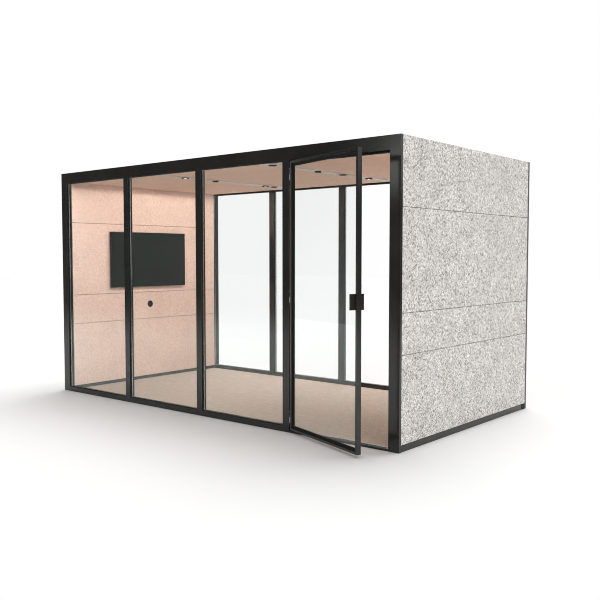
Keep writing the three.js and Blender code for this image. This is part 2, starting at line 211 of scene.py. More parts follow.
# %% [markdown]
# ## Studio
# The floor and the background of a product picture are white, but the floor keeps its shadow. A sky image
# would bring colours of its own, so the sky is a plain white that is brighter overhead than at the
# horizon, which keeps the shadow close to the pod. A level floor takes most of its light from high up:
# weighed in that way, a direction of the sky points up by two thirds on the average, and the rise towards
# the zenith is divided by that. Together with a key light the sky then lights a level floor at a strength
# of one, and each colour comes out about as written. Rays from the camera, and those that mirrors and
# glass send out, meet a white background instead.

# %% White sky
SKY_LIGHT = 0.43
SKY_HORIZON = 0.25
SKY_WHITE = 1.0
MEAN_UPWARD = 2 / 3


def seen_directly(tree):
    """1 for rays from the camera, a mirror or glass, and 0 for those that only carry light."""
    path = tree.nodes.new("ShaderNodeLightPath")
    first = tree.nodes.new("ShaderNodeMath")
    first.operation = "MAXIMUM"
    second = tree.nodes.new("ShaderNodeMath")
    second.operation = "MAXIMUM"
    tree.links.new(path.outputs["Is Camera Ray"], first.inputs[0])
    tree.links.new(path.outputs["Is Glossy Ray"], first.inputs[1])
    tree.links.new(first.outputs[0], second.inputs[0])
    tree.links.new(path.outputs["Is Transmission Ray"], second.inputs[1])
    return second.outputs[0]


world = bpy.data.worlds.new("studio")
scene.world = world
world.use_nodes = True
sky_tree = world.node_tree
light_sky = sky_tree.nodes["Background"]
light_sky.inputs["Color"].default_value = (1, 1, 1, 1)
upward = sky_tree.nodes.new("ShaderNodeSeparateXYZ")
sky_tree.links.new(sky_tree.nodes.new("ShaderNodeTexCoord").outputs["Generated"], upward.inputs[0])
overhead = sky_tree.nodes.new("ShaderNodeMapRange")
overhead.inputs["To Min"].default_value = SKY_LIGHT * SKY_HORIZON
overhead.inputs["To Max"].default_value = SKY_LIGHT * (SKY_HORIZON + (1 - SKY_HORIZON) / MEAN_UPWARD)
sky_tree.links.new(upward.outputs["Z"], overhead.inputs["Value"])
sky_tree.links.new(overhead.outputs["Result"], light_sky.inputs["Strength"])
white_sky = sky_tree.nodes.new("ShaderNodeBackground")
white_sky.inputs["Color"].default_value = (1, 1, 1, 1)
white_sky.inputs["Strength"].default_value = SKY_WHITE
either_sky = sky_tree.nodes.new("ShaderNodeMixShader")
sky_tree.links.new(seen_directly(sky_tree), either_sky.inputs[0])
sky_tree.links.new(light_sky.outputs[0], either_sky.inputs[1])
sky_tree.links.new(white_sky.outputs[0], either_sky.inputs[2])
sky_tree.links.new(either_sky.outputs[0], sky_tree.nodes["World Output"].inputs["Surface"])
print("white sky at", SKY_LIGHT)

# %% [markdown]
# ### Key light and fill
# A broad lamp above and behind the pod throws a soft shadow forward. A weaker lamp on the camera's side
# fills the felt wall on the right and shines through the front glass onto the far wall. Both are sun lamps
# with a wide angle, which light every part of a large object alike, where a lamp at a distance would fade
# across it. Neither shows in a mirror, where it would be a white blot: what the gloss shows is the white
# background and the cards.

# %% Key light and fill
KEY_FROM = Vector((-0.06, 0.34, 1.0))
KEY_SPREAD = 40.0
KEY_LIGHT = 1.0 - SKY_LIGHT
FILL_FROM = Vector((0.75, -0.33, 0.36))
FILL_SPREAD = 40.0
FILL_LIGHT = 0.345


def broad_lamp(name, toward, spread, energy):
    lamp_data = bpy.data.lights.new(name, "SUN")
    lamp_data.angle = math.radians(spread)
    lamp_data.energy = energy
    lamp = bpy.data.objects.new(name, lamp_data)
    lamp.rotation_euler = toward.to_track_quat("Z", "Y").to_euler()
    lamp.visible_glossy = False
    scene.collection.objects.link(lamp)
    print(name, round(energy, 2))
    return lamp


key_energy = KEY_LIGHT * math.pi / KEY_FROM.normalized().z
broad_lamp("key_light", KEY_FROM, KEY_SPREAD, key_energy)
fill_energy = FILL_LIGHT * math.pi / FILL_FROM.normalized().x
fill_light = broad_lamp("fill_light", FILL_FROM, FILL_SPREAD, fill_energy)

# %% [markdown]
# ### Studio floor
# The floor is one wide white sheet, a hair below the pod so that the two faces don't fight. It is lit like
# any surface, so it keeps the pod's shadow. A trace of glow, for rays that see it directly, lifts it to
# the white behind it. The fill light is told to leave the floor alone, or it would wash out the shadow.

# %% Studio floor
FLOOR_REACH = 40.0
FLOOR_DROP = 0.0005
FLOOR_SHADE = 0.955
FLOOR_GLOW = 0.06


def stage_sheet(name, corners, finish):
    """A flat sheet of the stage, which isn't part of the pod."""
    data = bpy.data.meshes.new(name)
    data.from_pydata(corners, [], [list(range(len(corners)))])
    sheet = bpy.data.objects.new(name, data)
    scene.collection.objects.link(sheet)
    sheet.data.materials.append(finish)
    return sheet


def floor_finish():
    finish = bpy.data.materials.new("studio floor")
    finish.use_nodes = True
    tree = finish.node_tree
    tree.nodes.remove(tree.nodes["Principled BSDF"])
    matt = tree.nodes.new("ShaderNodeBsdfDiffuse")
    matt.inputs["Color"].default_value = (FLOOR_SHADE, FLOOR_SHADE, FLOOR_SHADE, 1)
    glow = tree.nodes.new("ShaderNodeEmission")
    both = tree.nodes.new("ShaderNodeAddShader")
    strength = tree.nodes.new("ShaderNodeMath")
    strength.operation = "MULTIPLY"
    strength.inputs[1].default_value = FLOOR_GLOW
    tree.links.new(seen_directly(tree), strength.inputs[0])
    tree.links.new(strength.outputs[0], glow.inputs["Strength"])
    tree.links.new(matt.outputs[0], both.inputs[0])
    tree.links.new(glow.outputs[0], both.inputs[1])
    tree.links.new(both.outputs[0], tree.nodes["Material Output"].inputs["Surface"])
    return finish


floor_corners = [
    (x * FLOOR_REACH, y * FLOOR_REACH, -FLOOR_DROP) for x, y in ((-1, -1), (1, -1), (1, 1), (-1, 1))]
studio_floor = stage_sheet("studio_floor", floor_corners, floor_finish())
pod_only = bpy.data.collections.new("lit without the studio floor")
pod_only.objects.link(studio_floor)
pod_only.collection_objects[0].light_linking.link_state = "EXCLUDE"
fill_light.light_linking.receiver_collection = pod_only
print("floor of", 2 * FLOOR_REACH, "m")

# %% [markdown]
# ### Cards
# In an all-white studio black paint turns grey and clear glass turns milky, because both mirror the white.
# Cards are the usual answer. These are seen by mirrors alone, so they throw no shadow. Dark cards in front
# and to the right keep the posts black and the upper glass clear, and get bright at the foot, where the
# floor would be. The open door mirrors a place further to the left, so it has a card of its own, which
# fades more slowly and lays a faint veil over what shows through the door. A small light card puts a sheen
# on the top of the right post and gets dimmer upward.

# %% Cards
FRONT_CARD = ((0.16, -7.81), (-7.75, -4.58))
DOOR_CARD = ((-7.75, -4.58), (-10.57, -3.43))
CARD_HEIGHT = 9.0
SIDE_CARD = ((9.1, -0.8), (5.9, 6.6))
SIDE_CARD_HEIGHT = 2.7
LIGHT_CARD = ((0.16, -7.76), (-1.9, -6.92))
LIGHT_CARD_RISE = (2.56, 3.6)
LIGHT_CARD_GLOW = (4.2, 1.3)
LIGHT_CARD_FADE = (2.65, 3.3)
DARK_CARD_GLOW = (0.9, 0.07)
DARK_CARD_FADE = (0.0, 0.6)
DOOR_CARD_GLOW = (0.5, 0.06)
DOOR_CARD_FADE = (0.0, 2.9)


def card_finish(name, glow, fade_heights):
    """A card that fades from one glow to another between two heights."""
    finish = bpy.data.materials.new(name)
    finish.use_nodes = True
    tree = finish.node_tree
    tree.nodes.remove(tree.nodes["Principled BSDF"])
    upward = tree.nodes.new("ShaderNodeSeparateXYZ")
    tree.links.new(tree.nodes.new("ShaderNodeTexCoord").outputs["Object"], upward.inputs[0])
    fade = tree.nodes.new("ShaderNodeMapRange")
    fade.interpolation_type = "SMOOTHSTEP"
    fade.inputs["From Min"].default_value = fade_heights[0]
    fade.inputs["From Max"].default_value = fade_heights[1]
    fade.inputs["To Min"].default_value = glow[0]
    fade.inputs["To Max"].default_value = glow[1]
    tree.links.new(upward.outputs["Z"], fade.inputs["Value"])
    light = tree.nodes.new("ShaderNodeEmission")
    tree.links.new(fade.outputs["Result"], light.inputs["Strength"])
    tree.links.new(light.outputs[0], tree.nodes["Material Output"].inputs["Surface"])
    return finish


def mirror_card(name, near, far, bottom, top, finish):
    """An upright card between two points of the floor, which only mirrors can see."""
    corners = [(*near, bottom), (*far, bottom), (*far, top), (*near, top)]
    card = stage_sheet(name, corners, finish)
    card.visible_camera = False
    card.visible_diffuse = False
    card.visible_shadow = False
    card.visible_transmission = False


DARK_CARD_FINISH = card_finish("dark card", DARK_CARD_GLOW, DARK_CARD_FADE)
DOOR_CARD_FINISH = card_finish("door card", DOOR_CARD_GLOW, DOOR_CARD_FADE)
LIGHT_CARD_FINISH = card_finish("light card", LIGHT_CARD_GLOW, LIGHT_CARD_FADE)
mirror_card("dark_card_front", *FRONT_CARD, 0, CARD_HEIGHT, DARK_CARD_FINISH)
mirror_card("door_card", *DOOR_CARD, 0, CARD_HEIGHT, DOOR_CARD_FINISH)
mirror_card("dark_card_side", *SIDE_CARD, 0, SIDE_CARD_HEIGHT, DARK_CARD_FINISH)
mirror_card("light_card", *LIGHT_CARD, *LIGHT_CARD_RISE, LIGHT_CARD_FINISH)
print("four cards set up")

# %% [markdown]
# ## Finishes
# Every finish is made from noise in the object's own metres, so a feature has its real size and stays on
# the piece when the door moves. Pictures of the materials would need an unwrapped mesh and would stretch
# at eased edges. The first helpers make a noise and turn it into colours or values. Most of a noise lies
# well inside the range from 0 to 1, so ramps start and end inside it too.

# %% Noise and shades
NOISE_LOW = 0.3
NOISE_HIGH = 0.7


def begin_finish(name):
    finish = bpy.data.materials.new(name)
    finish.use_nodes = True
    tree = finish.node_tree
    place = tree.nodes.new("ShaderNodeTexCoord")
    return finish, tree, tree.nodes["Principled BSDF"], place.outputs["Object"]


def mottle(tree, place, size, detail=3.0, roughness=0.55, warp=0.0):
    """Noise whose spots are about that size in metres."""
    texture = tree.nodes.new("ShaderNodeTexNoise")
    texture.inputs["Scale"].default_value = 1 / size
    texture.inputs["Detail"].default_value = detail
    texture.inputs["Roughness"].default_value = roughness
    texture.inputs["Distortion"].default_value = warp
    tree.links.new(place, texture.inputs["Vector"])
    return texture.outputs["Fac"]


def shades(tree, amount, stops):
    """A ramp of colours along the amount."""
    ramp = tree.nodes.new("ShaderNodeValToRGB")
    while len(ramp.color_ramp.elements) < len(stops):
        ramp.color_ramp.elements.new(0.5)
    for element, (position, colour) in zip(ramp.color_ramp.elements, stops):
        element.position = position
        element.color = (*colour, 1)
    tree.links.new(amount, ramp.inputs["Fac"])
    return ramp.outputs["Color"]


def dark_to_pale(tree, amount, dark, pale):
    """A ramp of two colours over the range that a noise fills."""
    return shades(tree, amount, [(NOISE_LOW, dark), (NOISE_HIGH, pale)])


def between(tree, amount, low, high):
    """A noise, spread between two values."""
    spread = tree.nodes.new("ShaderNodeMapRange")
    spread.inputs["From Min"].default_value = NOISE_LOW
    spread.inputs["From Max"].default_value = NOISE_HIGH
    spread.inputs["To Min"].default_value = low
    spread.inputs["To Max"].default_value = high
    tree.links.new(amount, spread.inputs["Value"])
    return spread.outputs["Result"]


print("ramps run from", NOISE_LOW, "to", NOISE_HIGH)

# %% [markdown]
# ### Layers and relief
# Cloth and paint show more than one thing at once, such as fibres with clouds over them. A half-and-half
# mix of two colours would wash both out. Multiplying keeps the fibres and only dims them. The relief tilts
# the surface's normals by a height, which is enough for what is finer than a millimetre or two.

# %% Layers and relief
def darkened(tree, colour, shade):
    """The colour, multiplied by a shade."""
    mix = tree.nodes.new("ShaderNodeMix")
    mix.data_type = "RGBA"
    mix.blend_type = "MULTIPLY"
    mix.inputs["Factor"].default_value = 1.0
    tree.links.new(colour, mix.inputs["A"])
    tree.links.new(shade, mix.inputs["B"])
    return mix.outputs["Result"]


def relief(tree, shader, height, depth):
    """Raises the surface by the height, up to that depth in metres."""
    bump = tree.nodes.new("ShaderNodeBump")
    bump.inputs["Distance"].default_value = depth
    tree.links.new(height, bump.inputs["Height"])
    tree.links.new(bump.outputs["Normal"], shader.inputs["Normal"])


print("finish helpers ready")

# %% [markdown]
# ### Grey felt of the outside
# The end walls wear a pressed wool felt. Pale and dark fibres lie in short curls of one to three
# centimetres, with cloudier patches a hand wide. Real hair would show no more than this from a few metres
# and would take far longer. So one noise, drawn out lengthwise, gives fibres that lean to one side, a
# second gives fibres that lean to the other, and a third decides patch by patch which of them lies on top.
# A wide noise adds the clouds, and the fibres also drive the relief.

# %% Grey felt
FIBRE_WIDE = 0.0095
FIBRE_LONG = 0.025
FIBRE_LEAN = math.radians(42)
LEAN_PATCH = 0.035
LEAN_CHANGE = (-1.0, 2.0)
GREY_CLOUD = 0.13
GREY_RELIEF = 0.0016
FIBRE_SHADES = [
    (0.34, (0.15, 0.134, 0.121)), (0.445, (0.50, 0.468, 0.44)), (0.535, (0.84, 0.802, 0.768)),
    (0.63, (1.0, 0.97, 0.942))]
CLOUD_SHADES = [(0.32, (0.84, 0.84, 0.84)), (0.68, (1.0, 1.0, 1.0))]


def leaning_fibres(tree, place, lean):
    """Noise drawn out into short fibres that lean by that angle on an end wall."""
    lie = tree.nodes.new("ShaderNodeMapping")
    lie.vector_type = "TEXTURE"
    lie.inputs["Rotation"].default_value = (lean, 0, 0)
    lie.inputs["Scale"].default_value = (FIBRE_WIDE, FIBRE_LONG, FIBRE_WIDE)
    tree.links.new(place, lie.inputs["Vector"])
    return mottle(tree, lie.outputs["Vector"], 1.0, detail=2.5, roughness=0.6, warp=1.1)


def grey_felt():
    finish, tree, wool, place = begin_finish("grey felt")
    on_top = between(tree, mottle(tree, place, LEAN_PATCH, detail=1.0), *LEAN_CHANGE)
    either = tree.nodes.new("ShaderNodeMix")
    either.clamp_factor = True
    tree.links.new(on_top, either.inputs["Factor"])
    tree.links.new(leaning_fibres(tree, place, FIBRE_LEAN), either.inputs["A"])
    tree.links.new(leaning_fibres(tree, place, -FIBRE_LEAN), either.inputs["B"])
    fibre = either.outputs["Result"]
    fibres = shades(tree, fibre, FIBRE_SHADES)
    clouds = shades(tree, mottle(tree, place, GREY_CLOUD, detail=4.0), CLOUD_SHADES)
    tree.links.new(darkened(tree, fibres, clouds), wool.inputs["Base Color"])
    wool.inputs["Roughness"].default_value = 0.95
    wool.inputs["Specular IOR Level"].default_value = 0.12
    wool.inputs["Sheen Weight"].default_value = 0.12
    wool.inputs["Sheen Roughness"].default_value = 0.6
    relief(tree, wool, fibre, GREY_RELIEF)
    return finish


GREY_FELT = grey_felt()
print(GREY_FELT.name)

# %% [markdown]
# ### Peach felt of the inside
# The inner walls and the ceiling wear a finer, evenly dyed felt. Its tufts differ little in colour, so it
# looks almost plain from across the room, with a slight cloudiness. A plain colour would look like paint:
# one noise for the tufts and a wide one for the clouds are enough to make it read as cloth. The ceiling
# has the same felt in darker colours, which are painted shade for the shade that it hangs in.

# %% Peach felt, for walls and ceiling
PEACH_TUFT = 0.017
PEACH_CLOUD = 0.22
PEACH_RELIEF = 0.0005


def peach_felt(name, dark, pale):
    finish, tree, wool, place = begin_finish(name)
    tuft = mottle(tree, place, PEACH_TUFT, detail=4.0, roughness=0.65, warp=0.8)
    tufts = dark_to_pale(tree, tuft, dark, pale)
    clouds = dark_to_pale(tree, mottle(tree, place, PEACH_CLOUD), (0.93, 0.93, 0.93), (1.0, 1.0, 1.0))
    tree.links.new(darkened(tree, tufts, clouds), wool.inputs["Base Color"])
    wool.inputs["Roughness"].default_value = 0.96
    wool.inputs["Specular IOR Level"].default_value = 0.1
    wool.inputs["Sheen Weight"].default_value = 0.08
    wool.inputs["Sheen Roughness"].default_value = 0.6
    relief(tree, wool, tuft, PEACH_RELIEF)
    return finish


PEACH_FELT = peach_felt("peach felt", (0.65, 0.497, 0.432), (0.92, 0.704, 0.615))
# The ceiling's darker colours are painted shade. Its felt is the same as on the walls.
CEILING_FELT_PAINTED_SHADE = peach_felt("ceiling felt", (0.54, 0.385, 0.30), (0.90, 0.655, 0.515))
print(PEACH_FELT.name, "and", CEILING_FELT_PAINTED_SHADE.name)

# %% [markdown]
# ### Carpet and wool core
# The floor is a low loop carpet. Each loop is a small cell, so a cell texture gives both the pile and,
# as painted shade, the dark points between loops, where a plain noise would look like sand. The core of the
# end walls only shows in the seams and is loose wool, coloured darker than wool as painted shade in the
# seams.

# %% Carpet and wool
LOOP = 0.0055
LOOP_RELIEF = 0.0012
YARN_PATCH = 0.05
WOOL_TUFT = 0.012
WOOL_RELIEF = 0.002
HOLLOW_PAINTED_SHADE = [(0.2, (1.0, 1.0, 1.0)), (0.75, (0.62, 0.61, 0.6))]


def loop_carpet():
    finish, tree, pile, place = begin_finish("loop carpet")
    loops = tree.nodes.new("ShaderNodeTexVoronoi")
    loops.inputs["Scale"].default_value = 1 / LOOP
    tree.links.new(place, loops.inputs["Vector"])
    yarn = mottle(tree, place, YARN_PATCH, detail=5.0, roughness=0.7)
    yarns = dark_to_pale(tree, yarn, (0.50, 0.427, 0.37), (0.67, 0.578, 0.505))
    # Painted shade: the colour is darkened between the loops, where shade falls.
    hollow_shade_and_height = shades(tree, loops.outputs["Distance"], HOLLOW_PAINTED_SHADE)
    tree.links.new(darkened(tree, yarns, hollow_shade_and_height), pile.inputs["Base Color"])
    pile.inputs["Roughness"].default_value = 0.97
    pile.inputs["Specular IOR Level"].default_value = 0.1
    pile.inputs["Sheen Weight"].default_value = 0.15
    relief(tree, pile, hollow_shade_and_height, LOOP_RELIEF)
    return finish


def loose_wool():
    finish, tree, wool, place = begin_finish("loose wool")
    tuft = mottle(tree, place, WOOL_TUFT, detail=6.0, roughness=0.7, warp=2.0)
    # Painted shade: the tufts are darker than wool is, to stand for the shade in the seams.
    tufts = dark_to_pale(tree, tuft, (0.16, 0.14, 0.12), (0.30, 0.27, 0.23))
    tree.links.new(tufts, wool.inputs["Base Color"])
    wool.inputs["Roughness"].default_value = 1.0
    relief(tree, wool, tuft, WOOL_RELIEF)
    return finish


CARPET = loop_carpet()
SEAM_SHADE_WOOL = loose_wool()
print(CARPET.name, "and", SEAM_SHADE_WOOL.name)

# %% [markdown]
# ### Black powder coat, rubber, plastic and steel
# Powder coat is baked on and keeps a fine orange-peel skin, glossy enough to mirror the cards. The seals
# are duller rubber, the fan is moulded plastic, and the hinges are steel. They could each have a recipe,
# but they differ only in numbers, so one recipe covers them: a colour that drifts a little, a roughness
# that drifts with it, and a fine relief.

# %% Coats, rubber, plastic and steel
COAT_DRIFT = 0.35


def coat_finish(name, dark, pale, rough, grain, depth, shine, metal=0.0):
    finish, tree, coat, place = begin_finish(name)
    skin = mottle(tree, place, grain, detail=2.0)
    drift = mottle(tree, place, COAT_DRIFT)
    tree.links.new(dark_to_pale(tree, drift, dark, pale), coat.inputs["Base Color"])
    tree.links.new(between(tree, drift, *rough), coat.inputs["Roughness"])
    coat.inputs["Specular IOR Level"].default_value = shine
    coat.inputs["Metallic"].default_value = metal
    relief(tree, coat, skin, depth)
    return finish


POWDER_COAT = coat_finish(
    "black powder coat", dark=(0.0185, 0.0178, 0.0168), pale=(0.0245, 0.0237, 0.0224),
    rough=(0.12, 0.18), grain=0.0022, depth=0.00003, shine=0.46)
RUBBER = coat_finish(
    "black rubber", dark=(0.006, 0.006, 0.006), pale=(0.011, 0.011, 0.0105),
    rough=(0.55, 0.7), grain=0.0015, depth=0.00005, shine=0.25)
PLASTIC = coat_finish(
    "moulded black plastic", dark=(0.010, 0.010, 0.011), pale=(0.016, 0.016, 0.017),
    rough=(0.4, 0.5), grain=0.0012, depth=0.00006, shine=0.4)
SATIN_STEEL = coat_finish(
    "satin steel", dark=(0.30, 0.31, 0.30), pale=(0.38, 0.39, 0.38),
    rough=(0.28, 0.38), grain=0.0018, depth=0.00002, shine=0.5, metal=1.0)
DARK_STEEL = coat_finish(
    "blackened steel", dark=(0.045, 0.045, 0.043), pale=(0.075, 0.074, 0.071),
    rough=(0.3, 0.42), grain=0.0018, depth=0.00003, shine=0.5, metal=0.85)
ROOF_COAT = coat_finish(
    "grey roof coat", dark=(0.085, 0.086, 0.087), pale=(0.097, 0.098, 0.099),
    rough=(0.58, 0.66), grain=0.003, depth=0.0001, shine=0.3)
print("coats, rubber, plastic and steel ready")

# %% [markdown]
# ### Pale metal
# The light channels are painted a pale grey-green, and the spacer bars in the glazing are bright aluminium
# that mirrors what is around it. Both could be one grey, but paint stays pale from every side and bare
# metal doesn't, so the recipe takes how metallic the surface is.

# %% Pale metal
METAL_DRIFT = 0.12
METAL_GRAIN = 0.002
METAL_RELIEF = 0.00003


def pale_metal(name, dark, pale, rough, metal):
    finish, tree, coat, place = begin_finish(name)
    drift = mottle(tree, place, METAL_DRIFT, detail=4.0)
    tree.links.new(dark_to_pale(tree, drift, dark, pale), coat.inputs["Base Color"])
    tree.links.new(between(tree, drift, *rough), coat.inputs["Roughness"])
    coat.inputs["Metallic"].default_value = metal
    relief(tree, coat, mottle(tree, place, METAL_GRAIN, detail=2.0), METAL_RELIEF)
    return finish


CHANNEL_PAINT = pale_metal(
    "channel paint", dark=(0.40, 0.445, 0.425), pale=(0.47, 0.515, 0.495), rough=(0.36, 0.46), metal=0.15)
SPACER_METAL = pale_metal(
    "spacer aluminium", dark=(0.25, 0.285, 0.27), pale=(0.30, 0.335, 0.32), rough=(0.14, 0.2), metal=1.0)
print(CHANNEL_PAINT.name, "and", SPACER_METAL.name)

# %% [markdown]
# ### Screen and lamp lens
# The screen is switched off, so it is a dark sheet with a dull gloss and not a picture. The lamps have a
# frosted lens, and the lamp behind it is on. Real frosted glass would need many rays to find the lamp, so
# the lens glows by itself.

# %% Screen and lamp lens
SCREEN_DRIFT = 0.5
SCREEN_ROUGH = (0.40, 0.46)
FROST = 0.004
LENS_GLOW = 3.0


def dark_screen():
    finish, tree, sheet, place = begin_finish("dark screen")
    drift = mottle(tree, place, SCREEN_DRIFT, detail=2.0)
    colour = dark_to_pale(tree, drift, (0.0065, 0.0115, 0.0095), (0.009, 0.0145, 0.012))
    tree.links.new(colour, sheet.inputs["Base Color"])
    tree.links.new(between(tree, drift, *SCREEN_ROUGH), sheet.inputs["Roughness"])
    sheet.inputs["Specular IOR Level"].default_value = 0.4
    return finish


def lamp_lens():
    finish, tree, lens, place = begin_finish("lamp lens")
    frost = mottle(tree, place, FROST, detail=2.0)
    glow = dark_to_pale(tree, frost, (1.0, 0.93, 0.84), (1.0, 0.97, 0.92))
    tree.links.new(glow, lens.inputs["Base Color"])
    tree.links.new(glow, lens.inputs["Emission Color"])
    lens.inputs["Emission Strength"].default_value = LENS_GLOW
    lens.inputs["Roughness"].default_value = 0.4
    return finish


SCREEN_DARK = dark_screen()
LAMP_LENS = lamp_lens()
print(SCREEN_DARK.name, "and", LAMP_LENS.name)

# %% [markdown]
# ### Mirror of a sheet of glass
# Glass mirrors a few percent of the light head on and nearly all of it at a grazing angle. Blender's own
# Fresnel node knows that curve for one face, but here one face stands for both of a sheet. So the share
# grows with the fourth power of how far the sheet is turned away. Only a face that a ray meets from
# outside mirrors. In the fixed bays that is the face towards the studio, so the way out through the far
# windows stays clear.

# %% Mirror share
MIRROR_POWER = 4.0


def mirror_share(tree, head_on):
    """The share that a sheet of glass mirrors, on its outer faces only."""
    turned_away = tree.nodes.new("ShaderNodeLayerWeight")
    power = tree.nodes.new("ShaderNodeMath")
    power.operation = "POWER"
    power.inputs[1].default_value = MIRROR_POWER
    tree.links.new(turned_away.outputs["Facing"], power.inputs[0])
    share = tree.nodes.new("ShaderNodeMapRange")
    share.inputs["To Min"].default_value = head_on
    share.inputs["To Max"].default_value = 1.0
    tree.links.new(power.outputs[0], share.inputs["Value"])
    inside = tree.nodes.new("ShaderNodeNewGeometry").outputs["Backfacing"]
    outer_only = tree.nodes.new("ShaderNodeMapRange")
    outer_only.inputs["To Max"].default_value = 0.0
    tree.links.new(inside, outer_only.inputs["Value"])
    tree.links.new(share.outputs["Result"], outer_only.inputs["To Min"])
    return outer_only.outputs["Result"]


print("the mirror grows with power", MIRROR_POWER)

# %% [markdown]
# ### Clear glass
# A flat sheet hardly shifts what is behind it, so it doesn't need bent rays, which would be slow and would
# stop the light of the lamps. It is a clear shader with a trace of green, mixed with a mirror by the share
# from above. A glass without a mirror is for the faces of the fixed bays that look into the room.

# %% Clear glass
GLASS_TINT = (0.9965, 0.998, 0.997)
MIRROR_TINT = (0.90, 1.0, 0.95)
BAY_MIRROR = 0.036
DOOR_MIRROR = 0.075


def clear_glass(name, head_on):
    finish = bpy.data.materials.new(name)
    finish.use_nodes = True
    tree = finish.node_tree
    tree.nodes.remove(tree.nodes["Principled BSDF"])
    through = tree.nodes.new("ShaderNodeBsdfTransparent")
    through.inputs["Color"].default_value = (*GLASS_TINT, 1)
    if head_on == 0:
        tree.links.new(through.outputs[0], tree.nodes["Material Output"].inputs["Surface"])
        return finish
    mirror = tree.nodes.new("ShaderNodeBsdfGlossy")
    mirror.inputs["Color"].default_value = (*MIRROR_TINT, 1)
    mirror.inputs["Roughness"].default_value = 0.0
    either = tree.nodes.new("ShaderNodeMixShader")
    tree.links.new(mirror_share(tree, head_on), either.inputs[0])
    tree.links.new(through.outputs[0], either.inputs[1])
    tree.links.new(mirror.outputs[0], either.inputs[2])
    tree.links.new(either.outputs[0], tree.nodes["Material Output"].inputs["Surface"])
    return finish


CLEAR_GLASS = clear_glass("clear glass", 0)
BAY_GLASS = clear_glass("bay glass, outer face", BAY_MIRROR)
DOOR_GLASS = clear_glass("door glass", DOOR_MIRROR)
print(CLEAR_GLASS.name, BAY_GLASS.name, "and", DOOR_GLASS.name, sep=", ")

# %% [markdown]
# ## Dress the frame
# Posts, rails, hinges, pulls and the fan have the right shape already. Making them again would only add
# errors, so each gets its finish and slightly rounded edges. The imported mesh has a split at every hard
# edge, so a weld comes before the bevel. A piece that is made anew further on gets its finish here all the
# same.

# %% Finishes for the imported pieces
EASED = {
    "base_rail": (POWDER_COAT, 0.0012),
    "post": (POWDER_COAT, 0.0012),
    "mullion": (POWDER_COAT, 0.0012),
    "hinge_jamb": (POWDER_COAT, 0.0012),
    "head_beam": (POWDER_COAT, 0.0012),
    "door_frame": (POWDER_COAT, 0.0012),
    "door_threshold": (POWDER_COAT, 0.002),
    "pull": (POWDER_COAT, 0.0008),
    "hinge": (SATIN_STEEL, 0.0006),
    "door_glass": (DOOR_GLASS, 0.0),
    "wall_core": (SEAM_SHADE_WOOL, 0.0),
    "roof_panel": (ROOF_COAT, 0.0015),
    "light_channel": (CHANNEL_PAINT, 0.0006),
    "fan": (PLASTIC, 0.0005),
    "screen_bracket": (DARK_STEEL, 0.0008),
    "screen": (PLASTIC, 0.003),
    "ceiling": (CEILING_FELT_PAINTED_SHADE, 0.0),
    "floor": (CARPET, 0.0),
    "felt_outer": (GREY_FELT, 0.0),
    "felt_inner": (PEACH_FELT, 0.0),
    "glazing": (BAY_GLASS, 0.0),
}
WELD = 0.00005


def finish_for(name):
    """The longest heading that the node's name starts with."""
    return EASED[max((key for key in EASED if name.startswith(key)), key=len)]


for name, node in nodes.items():
    finish, radius = finish_for(name)
    node.data.materials.clear()
    node.data.materials.append(finish)
    weld = node.modifiers.new("weld", "WELD")
    weld.merge_threshold = WELD
    ease_edges(node, radius)
print(len(nodes), "packed pieces have their finish")

# %% [markdown]
# ## Felt panels
# A felt panel isn't a sharp board. Its face is a little uneven, and at each seam the felt rolls over the
# edge, which is why a seam reads as a soft dark line. A bevel would round the edges but leave the face
# dead flat. So the face is made as a grid, with lines close together near the edge and even in the middle.
# Straight sides and one flat face behind close it.

# %% Grid of a felt panel
ROLL_ROWS = (0.0, 0.12, 0.4, 1.0)
GRID_STEP = 0.06


def grid_lines(length, roll):
    """Places of grid lines along one side: close together in the rolled edge, even in the middle."""
    edge = [row * roll for row in ROLL_ROWS]
    inner = length - 2 * roll
    count = max(1, round(inner / GRID_STEP))
    middle = [roll + inner * i / count for i in range(1, count)]
    return edge + middle + [length - place for place in reversed(edge)]


def close_back(mesh, rows, axis, back):
    """Closes a grid of rows with straight sides and one flat face behind."""
    rim = rows[0] + [row[-1] for row in rows[1:-1]] + rows[-1][::-1] + [row[0] for row in rows[-2:0:-1]]
    behind = []
    for vertex in rim:
        place = vertex.co.copy()
        place[axis] = back
        behind.append(mesh.verts.new(place))
    for k, vertex in enumerate(rim):
        after = (k + 1) % len(rim)
        mesh.faces.new((vertex, rim[after], behind[after], behind[k]))
    mesh.faces.new(behind)


print("a rolled edge has", len(ROLL_ROWS), "lines")

# %% [markdown]
# ### Padded panel
# The lines close to the edge follow a quarter circle, a wide noise sets the rest back by a fraction of a
# millimetre, and two of the edges wander by about half a millimetre, as cut felt does. A modifier could
# make the face uneven, but the roll needs exact places, so everything is worked out point by point.

# %% Padded panel
LIFTS_PER_METRE = 5.0
WANDER = 0.0006
WANDERS_PER_METRE = 9.0


